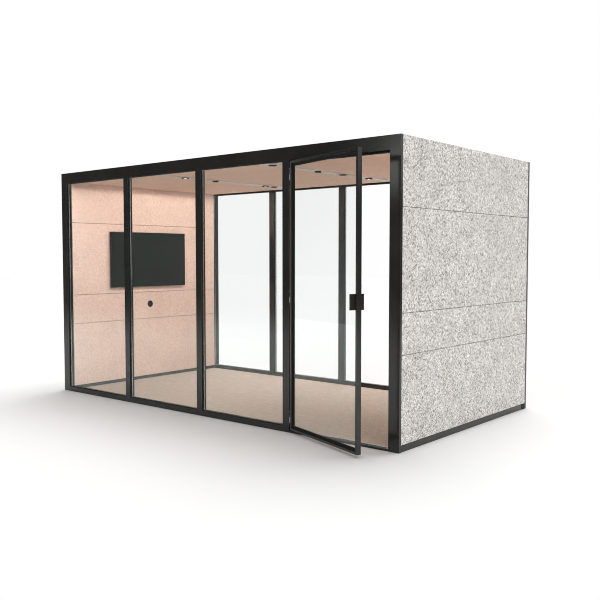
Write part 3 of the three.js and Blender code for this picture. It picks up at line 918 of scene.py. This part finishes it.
def padded_panel(name, node, axis, way, roll, lift, finish):
    """A panel in the place of a node, whose face toward `way` along `axis` has rolled edges."""
    low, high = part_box(node)
    first, second = [i for i in range(3) if i != axis]
    size = high - low
    face, back = (high[axis], low[axis]) if way > 0 else (low[axis], high[axis])
    mesh = bmesh.new()

    def near_edge(u, length):
        return max(0.0, roll - min(u, length - u))

    rows = []
    for v in grid_lines(size[second], roll):
        row = []
        for u in grid_lines(size[first], roll):
            place = Vector((0, 0, 0))
            place[first] = low[first] + u
            place[second] = low[second] + v
            place[axis] = face
            from_u = near_edge(u, size[first])
            from_v = near_edge(v, size[second])
            drop = roll - math.sqrt(max(0.0, roll * roll - from_u * from_u - from_v * from_v))
            uneven = 0.5 - 0.5 * noise.noise(place * LIFTS_PER_METRE)
            place[axis] -= way * (drop + lift * uneven)
            if v in (0.0, size[second]):
                inward = 1 if v == 0.0 else -1
                place[second] += inward * WANDER * abs(noise.noise(place * WANDERS_PER_METRE))
            row.append(mesh.verts.new(place))
        rows.append(row)
    for lower, upper in zip(rows, rows[1:]):
        for k in range(len(lower) - 1):
            mesh.faces.new((lower[k], lower[k + 1], upper[k + 1], upper[k]))
    close_back(mesh, rows, axis, back)
    panel = add_piece(name, mesh, finish)
    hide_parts(node)


print("an edge wanders by up to", WANDER, "m")

# %% [markdown]
# ### Panels of the end walls
# Each end wall has four strips of felt outside and four inside, with a seam between strips. One tall panel
# with drawn lines would look flat at the seams, so each strip is a panel of its own. The grey felt is
# pressed hard and turns a tight corner, the peach felt is softer.

# %% Panels of the two end walls
X_AXIS = 0
SIDES = {"left": -1, "right": 1}
STRIPS = ("bottom", "lower", "upper", "top")
GREY_ROLL = 0.0022
GREY_LIFT = 0.0012
PEACH_ROLL = 0.004
PEACH_LIFT = 0.0008
for side, way in SIDES.items():
    for strip in STRIPS:
        padded_panel(
            f"grey_panel_{side}_{strip}", f"felt_outer_{side}_{strip}", X_AXIS, way, GREY_ROLL, GREY_LIFT,
            GREY_FELT)
        padded_panel(
            f"peach_panel_{side}_{strip}", f"felt_inner_{side}_{strip}", X_AXIS, -way, PEACH_ROLL, PEACH_LIFT,
            PEACH_FELT)
print(len(SIDES) * len(STRIPS) * 2, "felt panels")

# %% [markdown]
# ### Ceiling panels and carpet
# The ceiling is felt on boards, and the carpet is glued to the floor. Flat boards would do for their
# middle, but their edges show at the light channels and at the threshold, so they are made as padded
# panels too.

# %% Ceiling panels and carpet
Z_AXIS = 2
CARPET_ROLL = 0.004
CARPET_LIFT = 0.0006
for part in ("left", "middle", "right"):
    padded_panel(
        f"ceiling_felt_{part}", f"ceiling_panel_{part}", Z_AXIS, -1, PEACH_ROLL, PEACH_LIFT, CEILING_FELT_PAINTED_SHADE)
padded_panel("carpet", "floor_panel", Z_AXIS, 1, CARPET_ROLL, CARPET_LIFT, CARPET)
print("ceiling and carpet laid")

# %% [markdown]
# ## Double glazing
# Each fixed bay holds two sheets of glass with a cavity between them. One solid block of glass would be
# simpler, but its edge would show no cavity. So each sheet is a board, ground at the edges. The faces
# towards the studio get the glass that mirrors, and the others the glass that doesn't.

# %% Sheets of glass
PANE = 0.006
GROUND_EDGE = 0.0006
FACES_OUT = 0.5


def glazing_panes(node, outward):
    low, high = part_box(node)
    sheets = bmesh.new()
    board(sheets, low, (high.x, low.y + PANE, high.z))
    board(sheets, (low.x, high.y - PANE, low.z), high)
    sheets.normal_update()
    for face in sheets.faces:
        face.material_index = 1 if face.normal.y * outward > FACES_OUT else 0
    panes = add_piece(node + "_panes", sheets, CLEAR_GLASS, ease=GROUND_EDGE, steps=1)
    panes.data.materials.append(BAY_GLASS)
    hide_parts(node)


print("each sheet is", PANE, "m thick")

# %% [markdown]
# ### Spacer bar
# A hollow bar keeps the two sheets apart, and from an angle it shows as a thin grey-green stripe beside
# the post. A stripe painted on the glass would not move with the view as the bar does, so the bar is
# there, mitred round the bay, with sloping shoulders.

# %% Spacer bar
SEALANT = 0.003
SPACER_BACK = 0.001
SPACER_WIDTH = 0.006
SPACER_SLOPE = 0.001
SPACER_SHOULDER = SPACER_WIDTH - SPACER_SLOPE


def bay_rectangle(low, high):
    return low.x, high.x, low.z, high.z


def spacer_faces(low, high):
    """Where the bar starts and ends across the unit, with sealant on both sides."""
    return low.y + PANE + SEALANT, high.y - PANE - SEALANT


def glazing_spacer(node):
    low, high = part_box(node)
    start, end = spacer_faces(low, high)
    bar = bmesh.new()
    profile = [
        (SPACER_BACK, start), (SPACER_SHOULDER, start), (SPACER_WIDTH, start + SPACER_SLOPE),
        (SPACER_WIDTH, end - SPACER_SLOPE), (SPACER_SHOULDER, end), (SPACER_BACK, end)]
    mitred_strip(bar, bay_rectangle(low, high), profile)
    add_piece(node + "_spacer", bar, SPACER_METAL)


print("the bar is", SPACER_WIDTH, "m wide")

# %% [markdown]
# ### Sealant and rubber
# A black bead of sealant lies between the bar and each sheet, and the unit is set in rubber on both sides.
# They could be left to the eye as a dark line, but the rubber stands proud and catches light, so it is a
# wedge mitred round the bay. Then each bay gets its sheets, its bar and its rubber.

# %% Glazing units
RUBBER_SIGHT = 0.005
RUBBER_TOP = 0.003
RUBBER_DEPTH = 0.004
RUBBER_LIP = 0.0015
RUBBER_SLOPE = 0.001
FRONT_BAYS = (1, 2, 3)
BACK_BAYS = (1, 2, 3, 4)


def glazing_rubber(node):
    low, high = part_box(node)
    bay = bay_rectangle(low, high)
    start, end = spacer_faces(low, high)
    seal = bmesh.new()
    for near, far in ((low.y + PANE, start), (end, high.y - PANE)):
        bead = [(SPACER_BACK, near), (SPACER_SHOULDER, near), (SPACER_SHOULDER, far), (SPACER_BACK, far)]
        mitred_strip(seal, bay, bead)
    for face, way in ((low.y, -1), (high.y, 1)):
        lip = face + way * RUBBER_LIP
        top = face + way * RUBBER_DEPTH
        wedge = [
            (0.0, face), (RUBBER_SIGHT, face), (RUBBER_SIGHT - RUBBER_SLOPE, lip), (RUBBER_TOP, top),
            (0.0, top)]
        mitred_strip(seal, bay, wedge)
    add_piece(node + "_rubber", seal, RUBBER)


units = [(f"glazing_front_{i}", -1) for i in FRONT_BAYS] + [(f"glazing_back_{i}", 1) for i in BACK_BAYS]
for node, outward in units:
    glazing_panes(node, outward)
    glazing_spacer(node)
    glazing_rubber(node)
print(len(units), "glazing units")

# %% [markdown]
# ## Door
# The leaf stands open, so its trim would have to be drawn at a slant. It is easier to draw the leaf shut,
# along the axes, and then to turn everything by the angle that it stands open, about the hinge of the
# packed joint.

# %% Leaf frame of reference
swing = next(joint for joint in frame["joints"] if joint["name"] == "door_swing")
DOOR_OPEN = -math.radians(swing["range_deg"][0])
hinge_axis = Vector(swing["pos_m"])
open_leaf = Matrix.Translation(hinge_axis) @ Matrix.Rotation(-DOOR_OPEN, 4, "Z")


def leaf_box(node):
    """A door node's lowest and highest corner along the leaf, across it and upward."""
    points = [open_leaf.inverted() @ vertex.co for vertex in nodes[node].data.vertices]
    low = Vector([min(point[i] for point in points) for i in range(3)])
    high = Vector([max(point[i] for point in points) for i in range(3)])
    return low, high


glass_low, glass_high = leaf_box("door_glass")
leaf_low, leaf_high = leaf_box("door_frame")
pull_low, pull_high = leaf_box("pull_inner")
print("leaf is", round(leaf_high.x, 3), "m wide and stands open by", round(math.degrees(DOOR_OPEN), 1))

# %% [markdown]
# ### Border and brush
# A black border, printed and sealed round the edge of the glass, hides where the sheet sits in its frame.
# It could be a dark band in the glass's finish, but it stands a little proud, so it is a mitred strip on
# both faces. A brush under the leaf closes the gap over the threshold. Single bristles would be too fine
# to see, so the brush is a bar that narrows downward.

# %% Door border and brush
BORDER = 0.021
BORDER_PROUD = 0.0016
BORDER_SLOPE = 0.002
BORDER_LIFT = 0.0002
BRUSH_ROOT = 0.005
BRUSH_TIP = 0.002
BRUSH_DROP = 0.0026


def straight_bar(mesh, start, end, side, profile, turn=Matrix.Identity(4)):
    """A closed profile of (side, other side) points, drawn along a straight line, with closed ends."""
    start, end, side = Vector(start), Vector(end), Vector(side)
    other = (end - start).normalized().cross(side)
    rings = []
    for place in (start, end):
        rings.append([mesh.verts.new(turn @ (place + a * side + b * other)) for a, b in profile])
    count = len(profile)
    for k in range(count):
        mesh.faces.new((rings[0][k], rings[0][(k + 1) % count], rings[1][(k + 1) % count], rings[1][k]))
    mesh.faces.new(rings[0])
    mesh.faces.new(rings[1][::-1])


def door_border():
    mesh = bmesh.new()
    opening = (glass_low.x, glass_high.x, glass_low.z, glass_high.z)
    for face, way in ((glass_low.y, -1), (glass_high.y, 1)):
        foot = face + way * BORDER_LIFT
        proud = face + way * BORDER_PROUD
        profile = [(0.0, foot), (BORDER, foot), (BORDER - BORDER_SLOPE, proud), (0.0, proud)]
        mitred_strip(mesh, opening, profile, open_leaf)
    return add_piece("door_glass_border", mesh, RUBBER, "door")


def door_brush():
    mesh = bmesh.new()
    middle = (glass_low.y + glass_high.y) / 2
    start = (glass_low.x, middle, leaf_low.z)
    end = (glass_high.x, middle, leaf_low.z)
    profile = [(BRUSH_ROOT, 0.0), (-BRUSH_ROOT, 0.0), (-BRUSH_TIP, -BRUSH_DROP), (BRUSH_TIP, -BRUSH_DROP)]
    straight_bar(mesh, start, end, (0, 1, 0), profile, open_leaf)
    return add_piece("door_brush", mesh, RUBBER, "door")


print(door_border().name, "and", door_brush().name)

# %% [markdown]
# ### Stops and bulb seal
# The jamb, the head and the strike side have a stop that the leaf closes on, with a soft bulb of rubber
# along it. They are fixed to the frame, so they ride on the root and not on the door. Plain boards with
# eased edges are enough for the stops, and a bar with a few sides is enough for a bulb of this size. At
# the height of the pull the strike stop is set back and the bulb is left out, so that the nuts behind the
# pull have room when the door is shut.

# %% Door stops and their bulb seal
STOP_WIDTH = 0.017
STOP_EASE = 0.0008
SHUT_GAP = 0.0015
BULB = 0.006
BULB_SIDES = 10
NOTCH_ROOM = 0.006
jamb_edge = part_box("hinge_jamb")[1].x
strike_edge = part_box("post_front_right")[0].x
frame_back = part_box("hinge_jamb")[1].y
head_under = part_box("head_beam_front")[0].z
sill_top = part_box("door_threshold")[1].z
stop_front = hinge_axis.y + leaf_high.y + SHUT_GAP + BULB / 2
notch_low = hinge_axis.z + pull_low.z - NOTCH_ROOM
notch_high = hinge_axis.z + pull_high.z + NOTCH_ROOM


def door_stops():
    mesh = bmesh.new()
    jamb = jamb_edge + STOP_WIDTH
    strike = strike_edge - STOP_WIDTH
    board(mesh, (jamb_edge, stop_front, sill_top), (jamb, frame_back, head_under))
    board(mesh, (strike, stop_front, sill_top), (strike_edge, frame_back, notch_low))
    board(mesh, (strike, stop_front + NOTCH_ROOM, notch_low), (strike_edge, frame_back, notch_high))
    board(mesh, (strike, stop_front, notch_high), (strike_edge, frame_back, head_under))
    board(mesh, (jamb, stop_front, head_under - STOP_WIDTH), (strike, frame_back, head_under))
    return add_piece("door_stops", mesh, POWDER_COAT, ease=STOP_EASE)


def bulb_seal():
    mesh = bmesh.new()
    half = BULB / 2
    angles = [math.radians(360 / BULB_SIDES * i) for i in range(BULB_SIDES)]
    ring = [(half * math.cos(angle), half * math.sin(angle)) for angle in angles]
    off = STOP_WIDTH / 2
    left, right, top = jamb_edge + off, strike_edge - off, head_under - off
    lines = [((left, sill_top), (left, top)), ((left, top), (right, top)),
             ((right, sill_top), (right, notch_low)), ((right, notch_high), (right, top))]
    for (x0, z0), (x1, z1) in lines:
        straight_bar(mesh, (x0, stop_front, z0), (x1, stop_front, z1), (0, 1, 0), ring)
    return add_piece("bulb_seal", mesh, RUBBER)


print(door_stops().name, "and", bulb_seal().name)

# %% [markdown]
# ### Hinge caps
# A lift-off hinge ends in small turned caps. The cap above turns with the leaf and the one below stays, so
# they are two pieces on two bodies, where one piece would stay behind or tear. They are turned on a real
# lathe too, so a section swept round an axis is the natural way to make them.

# %% Hinge caps
HINGES = ("hinge_top", "hinge_middle", "hinge_bottom")
HINGE_BARREL = 0.086
CAP_RADIUS = 0.0062
CAP_SEAT = 0.0002
CAP_SIDE = 0.0016
CAP_SHOULDER = (0.75 * CAP_RADIUS, 0.0038)
CAP_TOP = 0.0046
CAP_OUTLINE = [(0, CAP_SEAT), (CAP_RADIUS, CAP_SEAT), (CAP_RADIUS, CAP_SIDE), CAP_SHOULDER, (0, CAP_TOP)]
hinge_middles = [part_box(name)[0].z + HINGE_BARREL / 2 for name in HINGES]
for end, body, way in (("upper", "door", 1), ("lower", "root", -1)):
    caps = bmesh.new()
    for height in hinge_middles:
        place = (hinge_axis.x, hinge_axis.y, height + way * HINGE_BARREL / 2)
        turned(caps, CAP_OUTLINE, place, (0, 0, way))
    add_piece("hinge_caps_" + end, caps, SATIN_STEEL, body)
print("caps on", len(hinge_middles), "hinges")

# %% [markdown]
# ### Pull nuts
# The pulls are held by two domed nuts behind the leaf. They are drawn like the caps, but their axis turns
# with the leaf, so their seats go through the same matrix as the door's other trim.

# %% Pull nuts
NUT_RADIUS = 0.0058
NUT_HEIGHT = 0.0042
NUT_OUTLINE = [
    (0, 0), (NUT_RADIUS, 0), (NUT_RADIUS, 0.4 * NUT_HEIGHT), (0.7 * NUT_RADIUS, 0.85 * NUT_HEIGHT),
    (0, NUT_HEIGHT)]
NUT_SEAT = 0.0043
STUD_INSET = 0.010
STUD_HEIGHTS = (-0.035, 0.035)
pull_middle = (pull_low.z + pull_high.z) / 2
behind_leaf = open_leaf.to_3x3() @ Vector((0, 1, 0))
nuts = bmesh.new()
for height in STUD_HEIGHTS:
    seat = Vector((leaf_high.x - STUD_INSET, leaf_high.y + NUT_SEAT, pull_middle + height))
    turned(nuts, NUT_OUTLINE, open_leaf @ seat, behind_leaf)
add_piece("pull_nuts", nuts, DARK_STEEL, "door")
print(len(STUD_HEIGHTS), "nuts behind the pull")

# %% [markdown]
# ### Threshold
# The threshold has fine ribs for grip. A relief in the material would vanish at the low angle from which a
# threshold is seen, so the ribs are real bars. They end in front of the stop.

# %% Threshold ribs
RIB_PITCH = 0.006
RIB_FIRST = 1.5 * RIB_PITCH
RIB_HEIGHT = 0.0008
RIB_FOOT = 0.0012
RIB_TOP = 0.0006
RIB_END_GAP = 0.003
RIB_END = STOP_WIDTH + RIB_END_GAP
RIB_PROFILE = [(-RIB_FOOT, 0.0), (RIB_FOOT, 0.0), (RIB_TOP, RIB_HEIGHT), (-RIB_TOP, RIB_HEIGHT)]
sill_low, sill_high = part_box("door_threshold")
rib_count = int((sill_high.y - sill_low.y - 2 * RIB_PITCH) / RIB_PITCH)
rib_places = [sill_low.y + RIB_FIRST + i * RIB_PITCH for i in range(rib_count)]
rib_places = [across for across in rib_places if across <= stop_front - RIB_PITCH]
ribs = bmesh.new()
for across in rib_places:
    start = (sill_low.x + RIB_END, across, sill_high.z)
    end = (sill_high.x - RIB_END, across, sill_high.z)
    straight_bar(ribs, start, end, (0, 1, 0), RIB_PROFILE)
add_piece("threshold_ribs", ribs, POWDER_COAT)
print(len(rib_places), "ribs on the threshold")

# %% [markdown]
# ## Ceiling lamps
# The two channels carry small round lamps, black sensor discs and round air valves. Each lamp is a black
# rim with a frosted lens set into it. A glowing lens alone would light the room with much noise, so the
# light itself is a spot below the lens, open to all sides. It is told to leave the studio floor alone,
# because the room's own light would wash out the shadow.

# %% Lamps
FITTING_SIDES = 40
DOWN = (0, 0, -1)
LAMP_RADIUS = 0.037
LAMP_DROP = 0.010
LENS_RADIUS = 0.030
RIM_SLOPE = 0.002
LENS_GAP = 0.001
RIM_OUTLINE = [
    (LENS_RADIUS, 0.0), (LAMP_RADIUS, 0.0), (LAMP_RADIUS, 0.7 * LAMP_DROP),
    (LAMP_RADIUS - RIM_SLOPE, LAMP_DROP), (LENS_RADIUS + LENS_GAP, LAMP_DROP),
    (LENS_RADIUS, 0.8 * LAMP_DROP)]
LENS_OUTLINE = [
    (0, 0.0), (LENS_RADIUS, 0.0), (LENS_RADIUS, 0.55 * LAMP_DROP), (0.6 * LENS_RADIUS, 0.75 * LAMP_DROP),
    (0, 0.8 * LAMP_DROP)]
SPOT_WATTS = 55.0
SPOT_CONE = 180.0
SPOT_BLEND = 0.05
SPOT_COLOUR = (1.0, 0.93, 0.84)
SPOT_DROP = 1.3 * LAMP_DROP


def ceiling_lamp(name, place):
    rim = bmesh.new()
    turned(rim, RIM_OUTLINE, place, DOWN, FITTING_SIDES)
    add_piece(name + "_rim", rim, PLASTIC)
    lens = bmesh.new()
    turned(lens, LENS_OUTLINE, place, DOWN, FITTING_SIDES)
    add_piece(name + "_lens", lens, LAMP_LENS)
    spot_data = bpy.data.lights.new(name, "SPOT")
    spot_data.energy = SPOT_WATTS
    spot_data.spot_size = math.radians(SPOT_CONE)
    spot_data.spot_blend = SPOT_BLEND
    spot_data.shadow_soft_size = LENS_RADIUS
    spot_data.color = SPOT_COLOUR
    spot = bpy.data.objects.new(name + "_light", spot_data)
    spot.location = Vector(place) - Vector((0, 0, SPOT_DROP))
    scene.collection.objects.link(spot)
    spot.light_linking.receiver_collection = pod_only
    spot.visible_glossy = False


print("a lamp is", 2 * LAMP_RADIUS, "m wide")

# %% [markdown]
# ### Sensors and air valves
# A sensor is a shallow disc with a domed eye. An air valve is a set of rings, one in the other, each a
# little lower than the one around it. Both are moulded and round, so they are turned like the lamps.

# %% Sensors and air valves
SENSOR_RADIUS = 0.031
SENSOR_SIDE = 0.009
SENSOR_FACE = 0.011
SENSOR_EYE = (0.3 * SENSOR_RADIUS, 0.0115)
SENSOR_DROP = 0.0125
SENSOR_OUTLINE = [
    (0, 0), (SENSOR_RADIUS, 0), (SENSOR_RADIUS, SENSOR_SIDE), (0.95 * SENSOR_RADIUS, SENSOR_FACE),
    (0.5 * SENSOR_RADIUS, SENSOR_FACE), (0.45 * SENSOR_RADIUS, SENSOR_SIDE), SENSOR_EYE, (0, SENSOR_DROP)]
VENT_RADIUS = 0.036
VENT_RINGS = 3
VENT_RING_WIDTH = 0.007
VENT_DROP = 0.55 * LAMP_DROP
VENT_STEP = 0.15 * LAMP_DROP
VENT_SLOPE = 0.001


def ceiling_sensor(name, place):
    disc = bmesh.new()
    turned(disc, SENSOR_OUTLINE, place, DOWN, FITTING_SIDES)
    add_piece(name, disc, PLASTIC)


def ceiling_vent(name, place):
    valve = bmesh.new()
    for ring in range(VENT_RINGS):
        outer = VENT_RADIUS * (1 - ring / VENT_RINGS)
        inner = outer - VENT_RING_WIDTH
        drop = VENT_DROP + VENT_STEP * ring
        outline = [
            (inner, 0), (outer, 0), (outer, drop - VENT_SLOPE), (outer - VENT_SLOPE, drop), (inner, drop)]
        turned(valve, outline, place, DOWN, FITTING_SIDES)
    add_piece(name, valve, PLASTIC)


print("a valve has", VENT_RINGS, "rings")

# %% [markdown]
# ### Fittings in both channels
# The fittings don't stand at even steps, so no array would place them. Each channel has its own short list
# of places across the room, and the height and the middle come from the channel's box.

# %% Fittings in both channels
CHANNELS = {
    "left": {"lamp": (-0.64, 0.53), "sensor": (-0.23,), "vent": (0.67,)},
    "right": {"lamp": (0.56,), "sensor": (-0.25,), "vent": (-0.87, 0.13)},
}
MAKERS = {"lamp": ceiling_lamp, "sensor": ceiling_sensor, "vent": ceiling_vent}
for side, fittings in CHANNELS.items():
    channel_low, channel_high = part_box("light_channel_" + side)
    middle = (channel_low.x + channel_high.x) / 2
    for kind, places in fittings.items():
        for i, across in enumerate(places, 1):
            MAKERS[kind](f"{kind}_{side}_{i}", (middle, across, channel_low.z))
print("ceiling fittings in", len(CHANNELS), "channels")

# %% [markdown]
# ## Screen front
# The screen is a slim casing with a glass front that stops short of the edge, further at the bottom than
# at the sides. Painting that border on the casing would need a mask, so the front is a thin sheet of its
# own.

# %% Screen front
BEZEL = 0.007
SCREEN_CHIN = 1.6 * BEZEL
SCREEN_FRONT = 0.0014
SCREEN_EASE = 0.0005
screen_low, screen_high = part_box("screen")
front = bmesh.new()
board(front, (screen_high.x, screen_low.y + BEZEL, screen_low.z + SCREEN_CHIN),
      (screen_high.x + SCREEN_FRONT, screen_high.y - BEZEL, screen_high.z - BEZEL))
add_piece("screen_front", front, SCREEN_DARK, ease=SCREEN_EASE)
print("screen front", round(screen_high.y - screen_low.y - 2 * BEZEL, 3), "m wide")

# %% [markdown]
# ## Cable port
# Below the screen a round port lets cables into the wall: a flange, and a rubber disc with a small hole. A
# disc with a picture of rings would look flat from the side, so it is turned, and sits a little in the
# soft felt.

# %% Cable port
PORT_PLACE = (-0.02, 0.88)
PORT_RADIUS = 0.038
PORT_SINK = 0.0008
PORT_SIDE = 0.003
PORT_FLANGE = 0.0048
PORT_DISC = 0.002
PORT_HOLE = 0.001
PORT_OUTLINE = [
    (0, 0.0), (PORT_RADIUS, 0.0), (PORT_RADIUS, PORT_SIDE), (0.93 * PORT_RADIUS, PORT_FLANGE),
    (0.76 * PORT_RADIUS, PORT_FLANGE), (0.72 * PORT_RADIUS, PORT_DISC), (0.1 * PORT_RADIUS, PORT_DISC),
    (0.06 * PORT_RADIUS, PORT_HOLE), (0, PORT_HOLE)]
wall_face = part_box("felt_inner_left_lower")[1].x
port = bmesh.new()
turned(port, PORT_OUTLINE, (wall_face - PORT_SINK, *PORT_PLACE), (1, 0, 0), FITTING_SIDES)
add_piece("cable_port", port, PLASTIC)
print("cable port", PORT_PLACE[1], "m above the floor")

# %% [markdown]
# ## Back corners
# At the back corners the skirting stops short, and a black rubber cover fills the gap under the felt. Its
# black is partly painted shade, for the shade that lies in that recess. Stretching the rail would change the
# imported shape, so the cover is a board of its own. Its place comes from the boxes of the rail, the post and
# the felt, so it fits whatever their sizes are.

# %% Back corner covers
COVER_GAP = 0.0003
COVER_EASE = 0.002
for side, way in SIDES.items():
    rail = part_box("base_rail_" + side)
    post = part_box("post_back_" + side)
    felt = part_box(f"felt_outer_{side}_bottom")
    outer = post[1].x if way > 0 else post[0].x
    inner = felt[0].x if way > 0 else felt[1].x
    # A black rubber board. Its black also stands for the shade of the recess, as painted shade.
    cover = bmesh.new()
    board(cover, (min(inner, outer), rail[1].y + COVER_GAP, 0), (max(inner, outer), felt[1].y, rail[1].z))
    add_piece("corner_cover_" + side, cover, RUBBER, ease=COVER_EASE)
print(len(SIDES), "corner covers")

# %% [markdown]
# ## Roof
# Nobody sees the roof in the room, but a part that is turned over should hold up there too. Flat bars
# cover the joints of the sheet above the mullions, and small screws hold it down along its long edges.
# Drawn on the sheet they would vanish from the side, so the bars are boards and the screws are turned.

# %% Roof bars and screws
BAR_WIDTH = 0.05
BAR_HEIGHT = 0.003
BAR_EASE = 0.001
SCREW_RADIUS = 0.005
SCREW_STEP = 0.34
SCREW_INSET = 0.03
SCREW_SIDES = 16
SCREW_RIM = 0.0008
SCREW_CROWN = 0.0024
SCREW_TOP = 0.0026
SCREW_SOCKET = 0.0012
SCREW_OUTLINE = [
    (0, SCREW_SOCKET), (0.4 * SCREW_RADIUS, SCREW_SOCKET), (0.45 * SCREW_RADIUS, SCREW_TOP),
    (0.7 * SCREW_RADIUS, SCREW_CROWN), (SCREW_RADIUS, SCREW_RIM), (SCREW_RADIUS, 0.0), (0, 0.0)]
roof_low, roof_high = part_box("roof_panel")


def roof_bars():
    mesh = bmesh.new()
    for name in ("mullion_front_left", "mullion_front_middle", "hinge_jamb"):
        low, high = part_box(name)
        middle = (low.x + high.x) / 2
        board(mesh, (middle - BAR_WIDTH / 2, roof_low.y, roof_high.z),
              (middle + BAR_WIDTH / 2, roof_high.y, roof_high.z + BAR_HEIGHT))
    return add_piece("roof_bars", mesh, ROOF_COAT, ease=BAR_EASE)


def roof_screws():
    mesh = bmesh.new()
    across = roof_high.x - roof_low.x - 2 * SCREW_INSET
    count = round(across / SCREW_STEP)
    for i in range(count + 1):
        x = roof_low.x + SCREW_INSET + across * i / count
        for y in (roof_low.y + SCREW_INSET, roof_high.y - SCREW_INSET):
            turned(mesh, SCREW_OUTLINE, (x, y, roof_high.z), (0, 0, 1), SCREW_SIDES)
    return add_piece("roof_screws", mesh, DARK_STEEL)


print(roof_bars().name, "and", roof_screws().name)

# %% [markdown]
# ### Louvres
# Louvres over the light channels shelter the slots where the fan lets the air out. A dark patch on the
# sheet would look painted, so each is a low frame with slanting fins, which let air out and keep dust from
# falling in. The frame is the same mitred strip as in the glazing, laid flat, and each fin is a straight
# bar.

# %% Roof louvres
LOUVRE_WIDE = 0.15
LOUVRE_LONG = 0.19
LOUVRE_HEIGHT = 0.008
LOUVRE_EASE = 0.0006
LOUVRE_RIM = 0.018
LOUVRE_SLOPE = 0.004
LOUVRE_PROFILE = [(0, 0), (LOUVRE_RIM, 0), (LOUVRE_RIM, LOUVRE_HEIGHT), (LOUVRE_SLOPE, LOUVRE_HEIGHT)]
FINS = 7
FIN_PROFILE = [(-0.007, 0.001), (-0.005, 0.0), (0.007, 0.006), (0.005, 0.007)]
FIN_MARGIN = 0.025
FIN_STEP = (LOUVRE_LONG - 2 * FIN_MARGIN) / (FINS - 1)
FIN_LAP = 0.001
laid_flat = Matrix(((1, 0, 0, 0), (0, 0, 1, 0), (0, 1, 0, 0), (0, 0, 0, 1)))


def roof_louvre(name, x, y):
    mesh = bmesh.new()
    half_x, half_y = LOUVRE_WIDE / 2, LOUVRE_LONG / 2
    place = Matrix.Translation((x, y, roof_high.z)) @ laid_flat
    mitred_strip(mesh, (-half_x, half_x, -half_y, half_y), LOUVRE_PROFILE, place)
    reach = half_x - LOUVRE_RIM + FIN_LAP
    for i in range(FINS):
        across = y + (i - (FINS - 1) / 2) * FIN_STEP
        start = (x - reach, across, roof_high.z)
        end = (x + reach, across, roof_high.z)
        straight_bar(mesh, start, end, (0, 1, 0), FIN_PROFILE)
    add_piece(name, mesh, PLASTIC, ease=LOUVRE_EASE)


fan_low, fan_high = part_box("fan_housing")
for side in SIDES:
    channel_low, channel_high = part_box("light_channel_" + side)
    roof_louvre("roof_louvre_" + side, (channel_low.x + channel_high.x) / 2, (fan_low.y + fan_high.y) / 2)
print(len(SIDES), "louvres with", FINS, "fins each")
